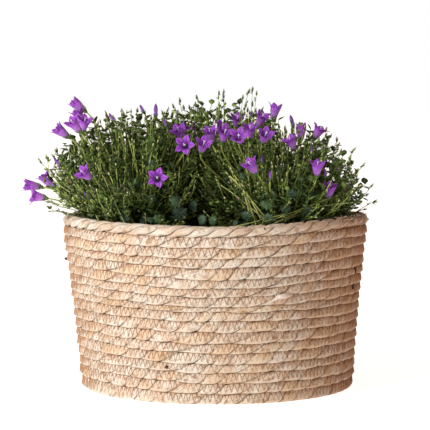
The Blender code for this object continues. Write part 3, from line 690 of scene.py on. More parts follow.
# The liner is an open cup of thin bluish-grey plastic film, crumpled at its mouth, that keeps the soil off
# the rope. It was laid into the basket and cut off just below the rim.
LINER_STEPS = 240
LINER_THICKNESS = 0.5 * MM
LINER_RIPPLE = 1.1 * MM
LINER_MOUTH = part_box("liner")[1].x - LINER_RIPPLE
LINER_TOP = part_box("liner")[1].z
LINER_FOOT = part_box("liner")[0].z
LINER_FLOOR_RADIUS = 124 * MM
LINER_RINGS = 14
LINER_SLIVER = 257  # degrees round the basket, where the film's edge rises above the rim
SLIVER_RISE = 5  # in millimetres
SLIVER_SPREAD = 8  # in degrees
MOUTH_DROP = 3.6  # in millimetres, of the rest of the edge
MOUTH_WAVER = 0.5
LINER_FOLDS = (9, 17, 31, 53)  # how often the film folds in a turn
FILM_DARK = rgb(116, 126, 150)
FILM_LIGHT = rgb(176, 186, 206)

share, around = np.meshgrid(
    np.linspace(0, 1, LINER_RINGS), np.arange(LINER_STEPS) * math.tau / LINER_STEPS, indexing="ij"
)
fold_phases = rng.uniform(0, math.tau, len(LINER_FOLDS))
ripple = sum(np.sin(around * n + phase) for n, phase in zip(LINER_FOLDS, fold_phases)) / 3
radius = LINER_FLOOR_RADIUS + (LINER_MOUTH - LINER_FLOOR_RADIUS) * share + LINER_RIPPLE * ripple * share**4
from_sliver = (np.degrees(around) - LINER_SLIVER + 180) % 360 - 180
sliver = SLIVER_RISE * np.exp(-((from_sliver / SLIVER_SPREAD) ** 2))
mouth = (sliver - MOUTH_DROP + MOUTH_WAVER * np.sin(around * 11)) * MM
height = LINER_FOOT + (LINER_TOP - LINER_FOOT) * share + mouth * share**8
liner = Heap()
for inset in (0, LINER_THICKNESS):
    x = (radius - inset) * np.cos(around)
    y = (radius - inset) * np.sin(around)
    film = np.stack([x, y, height + inset * (1 - share)], axis=-1)
    faces = grid_faces(LINER_RINGS, LINER_STEPS, closed=True)
    liner.add(film, faces[:, ::-1] if inset else faces)
    liner.faces.append(np.arange(LINER_STEPS)[None, :: 1 if inset else -1] + liner.count - film.size // 3)
mouth_edge = np.arange(LINER_STEPS) + (LINER_RINGS - 1) * LINER_STEPS
inner_edge = mouth_edge + LINER_RINGS * LINER_STEPS
lip = [mouth_edge, np.roll(mouth_edge, -1), np.roll(inner_edge, -1), inner_edge]
liner.faces.append(np.stack(lip, axis=1))
film_finish = Finish("liner_film", {"IOR": 1.5})
creases = film_finish.noise(60.0, 3.0)
film_finish.paint(film_finish.mix(creases, FILM_DARK, FILM_LIGHT), 0.25 + creases * 0.2, creases, 1.5 * MM)
place("liner_cup", liner.mesh("liner_cup", film_finish.material), "liner_film", "liner")

# The soil is dark reddish-brown potting compost, filled loosely to a little below the liner's mouth. Its top
# is uneven and strewn with crumbs.
SOIL_STEPS = 160
SOIL_RINGS = 44
SOIL_ROUGH = 1.6 * MM
SOIL_INSET = 1.0 * MM
SOIL_LUMPS = (0.11, 0.23, 0.47, 0.9)  # how tightly four waves of lumps lie
CRUMBS = 900
CRUMB_SIZES = (0.7, 2.2)  # in millimetres
SOIL_DARK = rgb(38, 22, 18)
SOIL_LIGHT = rgb(92, 58, 46)
soil_low, soil_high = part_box("soil")
soil_radius = soil_high.x - SOIL_INSET

share, around = np.meshgrid(
    np.linspace(0, 1, SOIL_RINGS), np.arange(SOIL_STEPS) * math.tau / SOIL_STEPS, indexing="ij"
)
x = soil_radius * share * np.cos(around)
y = soil_radius * share * np.sin(around)
lump_phases = rng.uniform(0, 6, 4), rng.uniform(0, 6, 4)
lumps = sum(
    np.sin(x / MM * rate + across) * np.sin(y / MM * rate + back)
    for rate, across, back in zip(SOIL_LUMPS, *lump_phases)
)
lumps += rng.normal(0, 0.45, lumps.shape)
top = soil_high.z + (lumps * 0.5 - 1) * SOIL_ROUGH * (share < 1)
soil = Heap()
soil.add(np.stack([x, y, top], axis=-1), grid_faces(SOIL_RINGS, SOIL_STEPS, closed=True))
foot_radius = LINER_FLOOR_RADIUS - 2 * LINER_THICKNESS
edge = np.stack([np.cos(around[-1]), np.sin(around[-1])], axis=-1)
upper_edge = np.column_stack([edge * soil_radius, top[-1]])
lower_edge = np.column_stack([edge * foot_radius, np.full(SOIL_STEPS, soil_low.z)])
soil.add(np.concatenate([upper_edge, lower_edge]), grid_faces(2, SOIL_STEPS, closed=True))
soil.faces.append(np.arange(SOIL_STEPS)[None, ::-1] + soil.count - SOIL_STEPS)

CRUMB_CORNERS = np.array([(1, 0, 0), (-1, 0, 0), (0, 1, 0), (0, -1, 0), (0, 0, 1), (0, 0, -1)], float)
CRUMB_FACES = [(0, 2, 4), (2, 1, 4), (1, 3, 4), (3, 0, 4), (2, 0, 5), (1, 2, 5), (3, 1, 5), (0, 3, 5)]


def scatter(heap, corners, faces, origins, axes, sizes, **values):
    """Copies of a small shape: at each origin, along three axes, scaled by its size."""
    count = len(origins)
    scaled = corners[None] * np.asarray(sizes, float).reshape(count, 1, -1)
    placed = np.einsum("nkc,ncd->nkd", scaled, axes) + np.asarray(origins)[:, None]
    numbers = np.asarray(faces)[None] + len(corners) * np.arange(count)[:, None, None]
    full = {}
    for key, rows in values.items():
        rows = np.asarray(rows, float)
        if rows.ndim == 2:
            rows = np.repeat(rows[:, None], len(corners), axis=1)
        full[key] = rows.reshape(count * len(corners), -1)
    heap.add(placed, numbers.reshape(-1, len(faces[0])), **full)


def axes_along(ways, twists=None):
    """Three axes for each way: the third along it, the first turned round it by the twist."""
    ways = unit(np.asarray(ways, float))
    beside = np.where(np.abs(ways[:, 2:]) < 0.95, (0.0, 0.0, 1.0), (1.0, 0.2, 0.0))
    flat = unit(np.cross(beside, ways))
    other = np.cross(ways, flat)
    if twists is not None:
        turn = np.asarray(twists)[:, None]
        flat, other = flat * np.cos(turn) + other * np.sin(turn), other * np.cos(turn) - flat * np.sin(turn)
    return np.stack([flat, other, ways], axis=1)


spread = soil_radius * np.sqrt(rng.uniform(0, 0.97, CRUMBS))
angle = rng.uniform(0, math.tau, CRUMBS)
crumb_height = soil_high.z - rng.uniform(0, 1, CRUMBS) * MM
crumb_places = np.stack([spread * np.cos(angle), spread * np.sin(angle), crumb_height], axis=-1)
crumb_axes = axes_along(rng.normal(size=(CRUMBS, 3)))
crumb_sizes = rng.uniform(*CRUMB_SIZES, (CRUMBS, 3)) * MM
scatter(soil, CRUMB_CORNERS, CRUMB_FACES, crumb_places, crumb_axes, crumb_sizes)
earth = Finish("potting_soil", {"Roughness": 0.95})
grit = earth.noise(260.0, 4.0)
earth.paint(earth.mix(grit.between(0.35, 0.7), SOIL_DARK, SOIL_LIGHT), height=grit, depth=1.5 * MM)
place("soil_bed", soil.mesh("soil_bed", earth.material), "soil", "soil")

# Each of the three bellflowers is a dense clump rooted in the soil. Round toothed leaves, dark and bluish,
# pack its inside. Hundreds of fine light green stems lean out and turn up through them: some have buds in
# green calyxes, some are leafy, some bare. The stems of flowers and of closed violet buds end in a calyx.
PLANTS = {  # in millimetres and degrees; sprays, shoots and stalks are counts, sprigs are tips of more sprays
    "left": {
        "crown": (-74, -28),
        "mound": (45, 63, 74),
        "reach": (97, 124),
        "boxy": 2.4,  # above 2 the outline of a plant is fuller than an ellipse
        "sector": (150, 270),
        "tone": 0.94,
        "sprays": 265,
        "shoots": 290,
        "stalks": 90,
        "sprigs": [(-168, -30, 220), (-162, -34, 223), (-155, -28, 224), (-158, -44, 176)],
    },
    "right": {
        "crown": (58, -30),
        "mound": (62, 64, 76),
        "reach": (97, 117),
        "boxy": 2.05,
        "sector": (270, 380),
        "tone": 0.93,
        "sprays": 270,
        "shoots": 270,
        "stalks": 90,
        "sprigs": [(134, -30, 231), (108, -24, 240), (142, -34, 216), (150, -36, 196), (152, -40, 182)],
    },
    "back": {
        "crown": (-2, 80),
        "mound": (68, 40, 82),
        "reach": (97, 132),
        "boxy": 2.5,
        "sector": (20, 150),
        "tone": 1.25,
        "sprays": 215,
        "shoots": 275,
        "stalks": 40,
        "sprigs": [
            (-18, 78, 278), (4, 82, 282), (9, 76, 284), (28, 80, 278),
            (34, 84, 284), (38, 78, 286), (42, 80, 282),
        ],
    },
}
HUB = np.array([-22, 18]) * MM  # where the plants' sectors meet
SECTOR_OVERLAP = 4 * MM
CLUMP_RADIUS = 26  # in millimetres
SOIL_TOP = soil_high.z
RIM_TOP = rim_high.z
RIM_KEEP = 133 * MM  # how far out what stays below the rim's top may grow
ABOVE_RIM = 5 * MM  # how far what grows past the rim stays above it
FLOWER_GAP = 7 * MM  # what stems leave free round a flower
FLOWER_TIP_GAP = 10 * MM  # and what their last three points do
TRIES = 40  # for each stem
STEM_RADIUS = 0.64 * MM
STEM_POINTS = 8
STEM_FROM = 0.12  # the share of a stem at its foot that is left out, deep in the clump
STEM_WANDER = 5 * MM
STEM_KINK = 0.7 * MM
OUTER_SHARES = (0.86, 1.02)  # of the plant's reach, where half of the stems end
# The stems lean out low down and turn up at their tips: shares of the way, outwards and up
STEM_BENDS = np.array([(0.2, 0.2, 0.4), (0.86, 0.86, 0.6)])

# Sheaves of pale stems low at the front: plant, then the foot and the tip of their middle, in millimetres
SHEAVES = (
    ("left", (-100, -80, 169), (-137, -48, 205)),
    ("left", (-84, -88, 172), (-108, -84, 212)),
    ("right", (38, -98, 173), (20, -98, 203)),
    ("right", (64, -95, 170), (108, -68, 183)),
)
SHEAF_STEMS = 9
SHEAF_RADIUS = 0.55 * MM
SHEAF_FOOT = (5 * MM, (1, 1, 0.4))  # how far the feet spread, and how much of that in x, y and z
SHEAF_TIP = (10 * MM, (1, 0.5, 0.5))
SHEAF_BUD = 5.5 * MM


def corner_colour(red, green, blue):
    """A colour for a mesh's corners, which carry no alpha."""
    return np.array(rgb(red, green, blue)[:3])


STEM_GREEN = corner_colour(172, 190, 92)
STEM_DARK = corner_colour(120, 144, 60)
STEM_PALE = corner_colour(212, 222, 130)
TIP_PALE = corner_colour(226, 226, 156)
TIP_GREEN = corner_colour(134, 156, 76)
TIP_PINK = corner_colour(176, 138, 162)
PINK_SHARE = 0.07  # of the buds
PALE_SHARE = 0.42  # of the buds, with the pink ones
CALYX_GREEN = corner_colour(86, 112, 50)
LEAF_TEAL = corner_colour(74, 102, 86)
LEAF_FRESH = corner_colour(82, 118, 56)
SHOOT_DARK = corner_colour(78, 98, 50)
SHOOT_FRESH = corner_colour(128, 158, 72)
# Painted shade for the depths of a clump
SHADED_DEPTH_GREEN = corner_colour(78, 90, 54)

# Broad leaves that show at the front: their middles and radius in millimetres, then how fresh a green
FRONT_LEAF_SIZE = 0.8
FRONT_LEAVES = {
    "left": [
        (-104, -78, 203, 8, 0.1),
        (-96, -72, 226, 7, 0.2),
        (-99, -92, 184, 8, 0.0),
        (-76, -94, 202, 8, 0.1),
        (-60, -84, 220, 8, 0.2),
        (-60, -96, 189, 7, 0.0),
        (-52, -100, 171, 8, 0.8),
        (-36, -96, 187, 9, 0.3),
        (-33, -92, 175, 11, 0.0),
        (-84, -98, 172, 8, 0.3),
    ],
    "right": [
        (-21, -86, 182, 8, 0.1),
        (-12, -100, 170, 7, 0.3),
        (-2, -102, 169, 7, 0.7),
        (49, -100, 185, 9, 0.8),
        (50, -106, 171, 8, 0.4),
        (66, -98, 181, 8, 0.2),
        (72, -92, 193, 8, 0.1),
        (30, -104, 173, 8, 0.5),
        (88, -90, 176, 8, 0.3),
        (104, -66, 180, 7, 0.3),
        (114, -56, 179, 7, 0.1),
        (122, -42, 180, 6, 0.4),
        (127, -30, 183, 6, 0.2),
        (118, -30, 188, 7, 0.0),
        (131, -24, 186, 5, 0.4),
    ],
    "back": [],
}

# Closed violet buds: the base in millimetres, the turn and rise in degrees, and the length in millimetres
VIOLET_BUDS = {
    "left": [
        (-148, -40, 217, 180, 45, 10),
        (-153, -58, 198, 185, 50, 9),
        (-96, -64, 261, 180, 58, 9),
        (-68, -40, 268, 180, 62, 9),
        (-57, -36, 264, 90, 88, 13),
        (-46, -62, 255, 170, 70, 9),
        (-118, -100, 190, 200, 52, 8),
    ],
    "right": [
        (51, -112, 208, 85, 80, 9),
        (44, -90, 222, 80, 80, 9),
        (76, -20, 254, 170, 75, 12),
        (92, -58, 229, 80, 85, 8),
        (105, -62, 206, 85, 82, 9),
        (128, -48, 192, 60, 80, 9),
    ],
    "back": [
        (-38, 66, 254, 130, 75, 9),
        (36, 84, 258, 60, 70, 10),
        (-14, 108, 262, 100, 70, 9),
    ],
}

# A bud's height and radius, as shares of its length and of its greatest radius
VIOLET_SHAPE = np.array([(0.0, 0.55), (0.2, 0.85), (0.55, 1.0), (0.8, 0.75), (0.93, 0.35), (1.0, 0.05)])
VIOLET_WIDTH = 0.16
VIOLET_CALYX = 0.7  # its calyx is smaller than a flower's
VIOLET_LIGHT = rgb(150, 110, 190)
VIOLET_DEEP = rgb(112, 56, 150)

# The flower's own measures, from its calyx to the tips of its lobes
PETALS = 5
BELL_BASE = 1.9 * MM
BELL_MOUTH = 4.8 * MM
BELL_LENGTH = 8.2 * MM
LOBE_LENGTH = 7.8 * MM
LOBE_HALF_WIDTH = 3.3 * MM


def crown_of(plant):
    """The middle of a plant's clump, on the soil."""
    return np.array([*PLANTS[plant]["crown"], 0]) * MM + (0, 0, SOIL_TOP)


def directions(turn, rise):
    turn, rise = np.radians(turn), np.radians(rise)
    return np.stack([np.cos(turn) * np.cos(rise), np.sin(turn) * np.cos(rise), np.sin(rise)], axis=-1)


def five_fold_error(away, way):
    """How badly points round a middle match themselves after a fifth of a turn round a way."""
    fifth = math.tau / PETALS
    along = np.outer(away @ way, way)
    turned = away * math.cos(fifth) + np.cross(way, away) * math.sin(fifth) + along * (1 - math.cos(fifth))
    return np.linalg.norm(turned[:, None] - away[None], axis=-1).min(1).sum()


def flower_pose(node):
    """A flower's base, its three axes and the flare of its lobes, read from its CAD solid."""
    corners = np.array([tuple(vertex.co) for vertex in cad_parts[node].data.vertices])
    corners = np.unique(np.round(corners, 6), axis=0)
    middle = corners.mean(0)
    away = corners - middle
    ways = []
    for power in (0, 2):
        weight = np.linalg.norm(away, axis=1)[:, None] ** power
        ways += list(np.linalg.eigh((away * weight).T @ away)[1].T)
    axis = min(ways, key=lambda way: five_fold_error(away, way))
    up = away @ axis
    out = np.linalg.norm(away - np.outer(up, axis), axis=1)
    if out[up.argmax()] < out[up.argmin()]:
        axis, up = -axis, -up
    base = middle + axis * up.min()
    tip = max(corners - base, key=np.linalg.norm)
    tip_up = tip @ axis
    side = tip - axis * tip_up
    tip_out = np.linalg.norm(side)
    side = side / tip_out
    flare = math.atan2(tip_out - BELL_MOUTH * math.cos(math.pi / PETALS), tip_up - BELL_LENGTH)
    return base, np.array([side, np.cross(axis, side), axis]), flare


flowers = {name: flower_pose(name) for name in sorted(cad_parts) if name.startswith("bloom_")}
flower_middles = np.array([base + axes[2] * BELL_LENGTH for base, axes, _ in flowers.values()])


def curve_points(controls, shares):
    """Points of the curve of any order that these points control."""
    points = [np.outer(np.ones_like(shares), control) for control in controls]
    while len(points) > 1:
        points = [a + (b - a) * shares[:, None] for a, b in zip(points, points[1:])]
    return points[0]


def in_sector(plant, points):
    """Whether points are in a plant's own sector, seen from above."""
    start, end = PLANTS[plant]["sector"]
    flat = points[:, :2] - HUB
    inside = np.ones(len(points), bool)
    for degrees, sign in ((start, 1), (end, -1)):
        ray = math.cos(math.radians(degrees)), math.sin(math.radians(degrees))
        inside &= sign * (ray[0] * flat[:, 1] - ray[1] * flat[:, 0]) > -SECTOR_OVERLAP
    return inside


def clear_of_rim(points):
    out = np.hypot(points[:, 0], points[:, 1])
    return np.all((points[:, 2] > RIM_TOP + ABOVE_RIM) | (out < RIM_KEEP))


SEPALS = 3
BUD_RINGS = ((0.0, 0.45), (0.3, 1.0), (0.76, 0.72))
BUD_SIDES = 4
bud_angles = np.arange(BUD_SIDES) * math.tau / BUD_SIDES
bud_corners = [(r * math.cos(a), r * math.sin(a), z) for z, r in BUD_RINGS for a in bud_angles] + [(0, 0, 1)]
BUD_CORNERS = np.array(bud_corners)
bud_quads = grid_faces(len(BUD_RINGS), BUD_SIDES, closed=True)
bud_last = (len(BUD_RINGS) - 1) * BUD_SIDES
bud_faces = [tuple(q[[0, 1, 2]]) for q in bud_quads] + [tuple(q[[0, 2, 3]]) for q in bud_quads]
bud_faces += [(bud_last + i, bud_last + (i + 1) % BUD_SIDES, len(bud_corners) - 1) for i in range(BUD_SIDES)]
bud_faces += [(0, 2, 1), (0, 3, 2)]
BUD_FACES = np.array(bud_faces)
BUD_HEIGHT = BUD_CORNERS[:, 2]

# One sepal of a calyx: a narrow thin blade that leans out a little from the bud's foot
SEPAL_CORNERS = np.array([(0.7, -0.4, 0.1), (0.7, 0.4, 0.1), (1.15, 0, 0.12), (1.75, 0, 1.0)])
SEPAL_FACES = np.array([(0, 2, 1), (0, 3, 2), (1, 2, 3), (0, 1, 3)])
# A small bract on a stem: a blade folded along its middle
bract_edge = [(0, 0, 0), (0.5, 0.12, 0.45), (-0.5, 0.12, 0.45)]
BRACT_CORNERS = np.array(bract_edge + [(0, 0.05, 0.5), (0, 0.3, 1.0), (0, -0.08, 0.5)])
bract_top = [(0, 1, 3), (0, 3, 2), (1, 4, 3), (3, 4, 2)]
BRACT_FACES = np.array(bract_top + [(1, 0, 5), (0, 2, 5), (4, 1, 5), (2, 4, 5)])

# A leaflet of a leafy shoot: a small pointed leaf, hollow along its middle
LEAFLET_OUTLINE = ((0, 0), (0.34, 0.3), (0.3, 0.66), (0, 1), (-0.3, 0.66), (-0.34, 0.3))
leaflet_rim = [(x, 0.35 * abs(x), z) for x, z in LEAFLET_OUTLINE]
LEAFLET_CORNERS = np.array(leaflet_rim + [(0, 0.02, 0.45), (0, -0.05, 0.45)])
leaflet_count = len(leaflet_rim)
leaflet_top = [(i, (i + 1) % leaflet_count, leaflet_count) for i in range(leaflet_count)]
leaflet_under = [((i + 1) % leaflet_count, i, leaflet_count + 1) for i in range(leaflet_count)]
LEAFLET_FACES = np.array(leaflet_top + leaflet_under)

# A broad leaf with a toothed rim and a notch at its stalk, domed and a little folded, of radius 1
LEAF_TEETH = 7
LEAF_MIDDLE = 0.95  # from the stalk
LEAF_THICKNESS = 0.05
leaf_turns = np.radians(np.linspace(-152, 152, 2 * LEAF_TEETH + 1))
leaf_count = len(leaf_turns)
leaf_reach = np.where(np.arange(leaf_count) % 2, 1.04, 0.76)
leaf_rim = np.stack([leaf_reach * np.sin(leaf_turns), LEAF_MIDDLE + leaf_reach * np.cos(leaf_turns)], axis=-1)
leaf_inner = np.stack([0.5 * np.sin(leaf_turns), LEAF_MIDDLE + 0.5 * np.cos(leaf_turns)], axis=-1)
leaf_flat = np.concatenate([leaf_rim, leaf_inner, [(0, LEAF_MIDDLE), (0, 0.3)]])
leaf_x, leaf_y = leaf_flat[:, 0], leaf_flat[:, 1] - LEAF_MIDDLE
leaf_dome = 0.16 - 0.3 * (leaf_x**2 + leaf_y**2) + 0.1 * np.abs(leaf_x)
leaf_top = np.column_stack([leaf_flat, leaf_dome])
LEAF_CORNERS = np.concatenate([leaf_top, leaf_top - (0, 0, LEAF_THICKNESS)])
leaf_faces = []
for i in range(leaf_count - 1):
    leaf_faces += [(i, i + 1, leaf_count + i + 1), (i, leaf_count + i + 1, leaf_count + i)]
    leaf_faces.append((leaf_count + i, leaf_count + i + 1, 2 * leaf_count))
notch = 2 * leaf_count + 1
leaf_faces += [(leaf_count - 1, notch, 2 * leaf_count - 1), (2 * leaf_count - 1, notch, 2 * leaf_count)]
leaf_faces += [(notch, 0, leaf_count), (notch, leaf_count, 2 * leaf_count)]
under = [(c + len(leaf_top), b + len(leaf_top), a + len(leaf_top)) for a, b, c in leaf_faces]
ring = list(range(leaf_count)) + [notch]
border = []
for a, b in zip(ring, ring[1:] + ring[:1]):
    border += [(a, a + len(leaf_top), b + len(leaf_top)), (a, b + len(leaf_top), b)]
LEAF_FACES = np.array(leaf_faces + under + border)
# Where each corner lies on the blade, for its veins, and a place that has none
LEAF_BLADE = np.column_stack([LEAF_CORNERS[:, 0], LEAF_CORNERS[:, 1] - LEAF_MIDDLE, LEAF_CORNERS[:, 2] * 0])
OFF_BLADE = (9.0, 9.0, 0.0)


def add_buds(heap, feet, ways, lengths, tips, paints):
    """Buds in green calyxes on short stalks: tips says what colour each bud comes to."""
    twists = rng.uniform(0, math.tau, len(feet))
    axes = axes_along(ways, twists)
    widths = lengths * rng.uniform(0.13, 0.19, len(feet))
    sizes = np.stack([widths, widths, lengths], axis=1)
    blend = smooth((BUD_HEIGHT - 0.3) / 0.45)[None, :, None]
    colour = paints[:, None] * (1 - blend) + tips[:, None] * blend
    scatter(heap, BUD_CORNERS, BUD_FACES, feet, axes, sizes, paint=colour)
    for number in range(SEPALS):
        turned = axes_along(ways, twists + number * math.tau / SEPALS)
        blade = np.stack([widths * 1.05, widths * 1.0, lengths * rng.uniform(0.6, 0.95, len(feet))], axis=1)
        scatter(heap, SEPAL_CORNERS, SEPAL_FACES, feet, turned, blade, paint=paints * 0.9)


def stem_path(plant, tip):
    """A curved stem from somewhere in the plant's clump to a tip."""
    start = crown_of(plant) + np.array([*rng.normal(0, 0.4, 2), 0]) * CLUMP_RADIUS * MM
    away = tip - start
    bends = start + away * STEM_BENDS + rng.normal(0, STEM_WANDER, 3)
    path = curve_points([start, *bends, tip], np.linspace(STEM_FROM, 1, STEM_POINTS))
    path[1:-1] += rng.normal(0, STEM_KINK, (STEM_POINTS - 2, 3))
    return path


def stem_paths(plant, count, lowest, inner):
    """Stems to places near the plant's outside, clear of the rim, the flowers and the other plants."""
    facts = PLANTS[plant]
    crown = crown_of(plant)
    side, up = facts["reach"]
    paths = []
    for _ in range(count * TRIES):
        if len(paths) == count:
            break
        turn = rng.uniform(0, 360)
        rise = math.asin(rng.uniform(lowest, 0.99))
        share = rng.uniform(inner, 1.0) if rng.random() < 0.5 else rng.uniform(*OUTER_SHARES)
        boxy = facts["boxy"]
        share *= (math.cos(rise) ** boxy + math.sin(rise) ** boxy) ** (-1 / boxy)
        tip = crown + directions(turn, math.degrees(rise)) * np.array([side, side, up]) * MM * share
        path = stem_path(plant, tip)
        if not in_sector(plant, tip[None])[0] or not clear_of_rim(path):
            continue
        gaps = np.linalg.norm(path[:, None] - flower_middles[None], axis=-1)
        if gaps[-3:].min() > FLOWER_TIP_GAP and gaps.min() > FLOWER_GAP:
            paths.append(path)
    return paths


NEXT_LEAF = math.radians(137.5)  # round a stem, from one leaf or bud to the next


def along_stem(path, at):
    """Places along a stem, the way it goes there, and a way out from it that turns from place to place."""
    shares = np.linspace(0, 1, len(path))
    nodes = np.stack([np.interp(at, shares, path[:, i]) for i in range(3)], axis=1)
    ahead = unit(np.stack([np.interp(at, shares, np.gradient(path[:, i])) for i in range(3)], axis=1))
    turn = rng.uniform(0, math.tau) + np.arange(len(at)) * NEXT_LEAF
    return nodes, ahead, axes_along(ahead, turn)[:, 0]


LEAFLETS_A_SHOOT = 10
LEAFLET_LENGTHS = (6, 10.5)  # in millimetres
LEAFLET_WIDTH = 1.05


def add_shoot(heap, path, tone):
    """A leafy stem, with small pointed leaves all along its outer part."""
    tone = tone * rng.uniform(0.6, 1.2)
    shares = np.linspace(0, 1, len(path))
    tube(heap, path, STEM_RADIUS * (1.0 - 0.5 * shares), 3, paint=STEM_DARK * tone)
    at = np.linspace(rng.uniform(0.3, 0.5), 0.98, LEAFLETS_A_SHOOT) + rng.normal(0, 0.01, LEAFLETS_A_SHOOT)
    nodes, ahead, outward = along_stem(path, np.clip(at, 0.2, 1))
    lengths = rng.uniform(*LEAFLET_LENGTHS, LEAFLETS_A_SHOOT) * MM
    ways = unit(ahead * rng.uniform(0.3, 1.0, (LEAFLETS_A_SHOOT, 1)) + outward)
    fresh = rng.random((LEAFLETS_A_SHOOT, 1)) ** 2
    colours = (SHOOT_DARK + (SHOOT_FRESH - SHOOT_DARK) * fresh) * tone
    sizes = np.stack([lengths * LEAFLET_WIDTH, lengths, lengths], axis=1)
    scatter(heap, LEAFLET_CORNERS, LEAFLET_FACES, nodes, axes_along(ways), sizes, paint=colours)


BUDS_A_SPRAY = 8
STALK_RADIUS = 0.4 * MM
# In millimetres, the length of the lowest one on a spray, and how much shorter the highest one is
STALK_LENGTH, STALK_SHORTENS = 6.0, 4.4
BUD_LENGTH, BUD_SHORTENS = 6.4, 2.2
END_BUD = 5.6 * MM


def add_spray(heap, path, tone):
    """A stem with alternate bracts and buds up its outer part."""
    tone = tone * rng.uniform(0.6, 1.15)
    shares = np.linspace(0, 1, len(path))
    paint = (STEM_DARK + (STEM_GREEN - STEM_DARK) * smooth(shares[:, None] * 1.6)) * tone
    tube(heap, path, STEM_RADIUS * (1.15 - 0.6 * shares), 3, paint=paint)
    at = np.linspace(rng.uniform(0.34, 0.5), 0.97, BUDS_A_SPRAY) + rng.normal(0, 0.012, BUDS_A_SPRAY)
    at = np.clip(at, 0.2, 0.985)
    nodes, ahead, outward = along_stem(path, at)
    lean = rng.uniform(0.3, 0.65, (BUDS_A_SPRAY, 1))
    ways = unit(ahead + outward * lean)
    young = (at - at.min()) / (at.max() - at.min())
    stalks = (STALK_LENGTH - STALK_SHORTENS * young) * rng.uniform(0.4, 1.4, BUDS_A_SPRAY) * MM
    feet = nodes + ways * stalks[:, None]
    ways = unit(ways + ahead * 0.4)
    lengths = (BUD_LENGTH - BUD_SHORTENS * young) * rng.uniform(0.75, 1.2, BUDS_A_SPRAY) * MM
    for node, foot in zip(nodes, feet):
        tube(heap, [node, foot], STALK_RADIUS, 3, paint=STEM_GREEN * tone)
    ends = np.concatenate([feet, path[-1:]])
    ways = np.concatenate([ways, ahead[-1:]])
    lengths = np.append(lengths, END_BUD)
    lot = rng.random((len(ends), 1))
    tips = np.where(lot < PINK_SHARE, TIP_PINK, np.where(lot < PALE_SHARE, TIP_PALE, TIP_GREEN))
    tips = tips * rng.uniform(0.7, 1.15, (len(ends), 1))
    paints = CALYX_GREEN * rng.uniform(0.7, 1.3, (len(ends), 1)) * tone
    add_buds(heap, ends, ways, lengths, tips, paints)
    widths = lengths[:-1] * 0.5
    blades = np.stack([widths, widths, lengths[:-1] * rng.uniform(0.9, 1.5, len(feet))], axis=1)
    bract_ways = unit(ahead * 0.5 + outward)
    scatter(heap, BRACT_CORNERS, BRACT_FACES, nodes, axes_along(bract_ways), blades, paint=paints[:-1] * 1.1)


YOUNG_BUD = 5 * MM


def add_stalk(heap, path, tone):
    """A bare light stem with one young bud."""
    shares = np.linspace(0, 1, len(path))
    tube(heap, path, STEM_RADIUS * (1.1 - 0.4 * shares), 3, paint=STEM_GREEN * tone * rng.uniform(0.75, 1.15))
    way = unit(path[-1:] - path[-2:-1])
    add_buds(heap, path[-1:], way, np.array([YOUNG_BUD]), TIP_PALE[None] * 0.95, CALYX_GREEN[None] * tone)


def add_sheaf(heap, low, high):
    """Pale bare stems that fan out from one place, each with a bud at its end."""
    foot_spread, foot_shape = SHEAF_FOOT
    tip_spread, tip_shape = SHEAF_TIP
    for _ in range(SHEAF_STEMS):
        foot = low + rng.normal(0, foot_spread, 3) * foot_shape
        tip = high + rng.normal(0, tip_spread, 3) * tip_shape
        bend = foot * 0.5 + tip * 0.5 + (0, 0, 3 * MM) + rng.normal(0, 1.5 * MM, 3)
        path = curve_points([foot - (tip - foot) * 0.5, foot, bend, tip], np.linspace(0, 1, STEM_POINTS))
        tube(heap, path, SHEAF_RADIUS, 4, paint=STEM_PALE * rng.uniform(0.6, 1.0))
        way = unit(path[-1:] - path[-2:-1])
        add_buds(heap, tip[None], way, np.array([SHEAF_BUD]), TIP_PALE[None] * 0.9, CALYX_GREEN[None])


LEAVES_A_PLANT = 300
LEAF_TURN = 137.508  # in degrees from leaf to leaf, which spreads them evenly round the mound
LEAF_DEPTHS = (0.7, 1.22)  # shares of the mound's size, from its middle
LEAF_RADII = (5.0, 8.6)  # in millimetres
LEAF_GAP = 15 * MM  # what the leaves leave free round a flower
LEAF_STALK_RADIUS = 0.5 * MM
TANGLE_SIZE = 0.8  # the core's, painted shade for the dark tangle deep in the clump, as a share of the mound's
TANGLE_LUMPS = 0.1


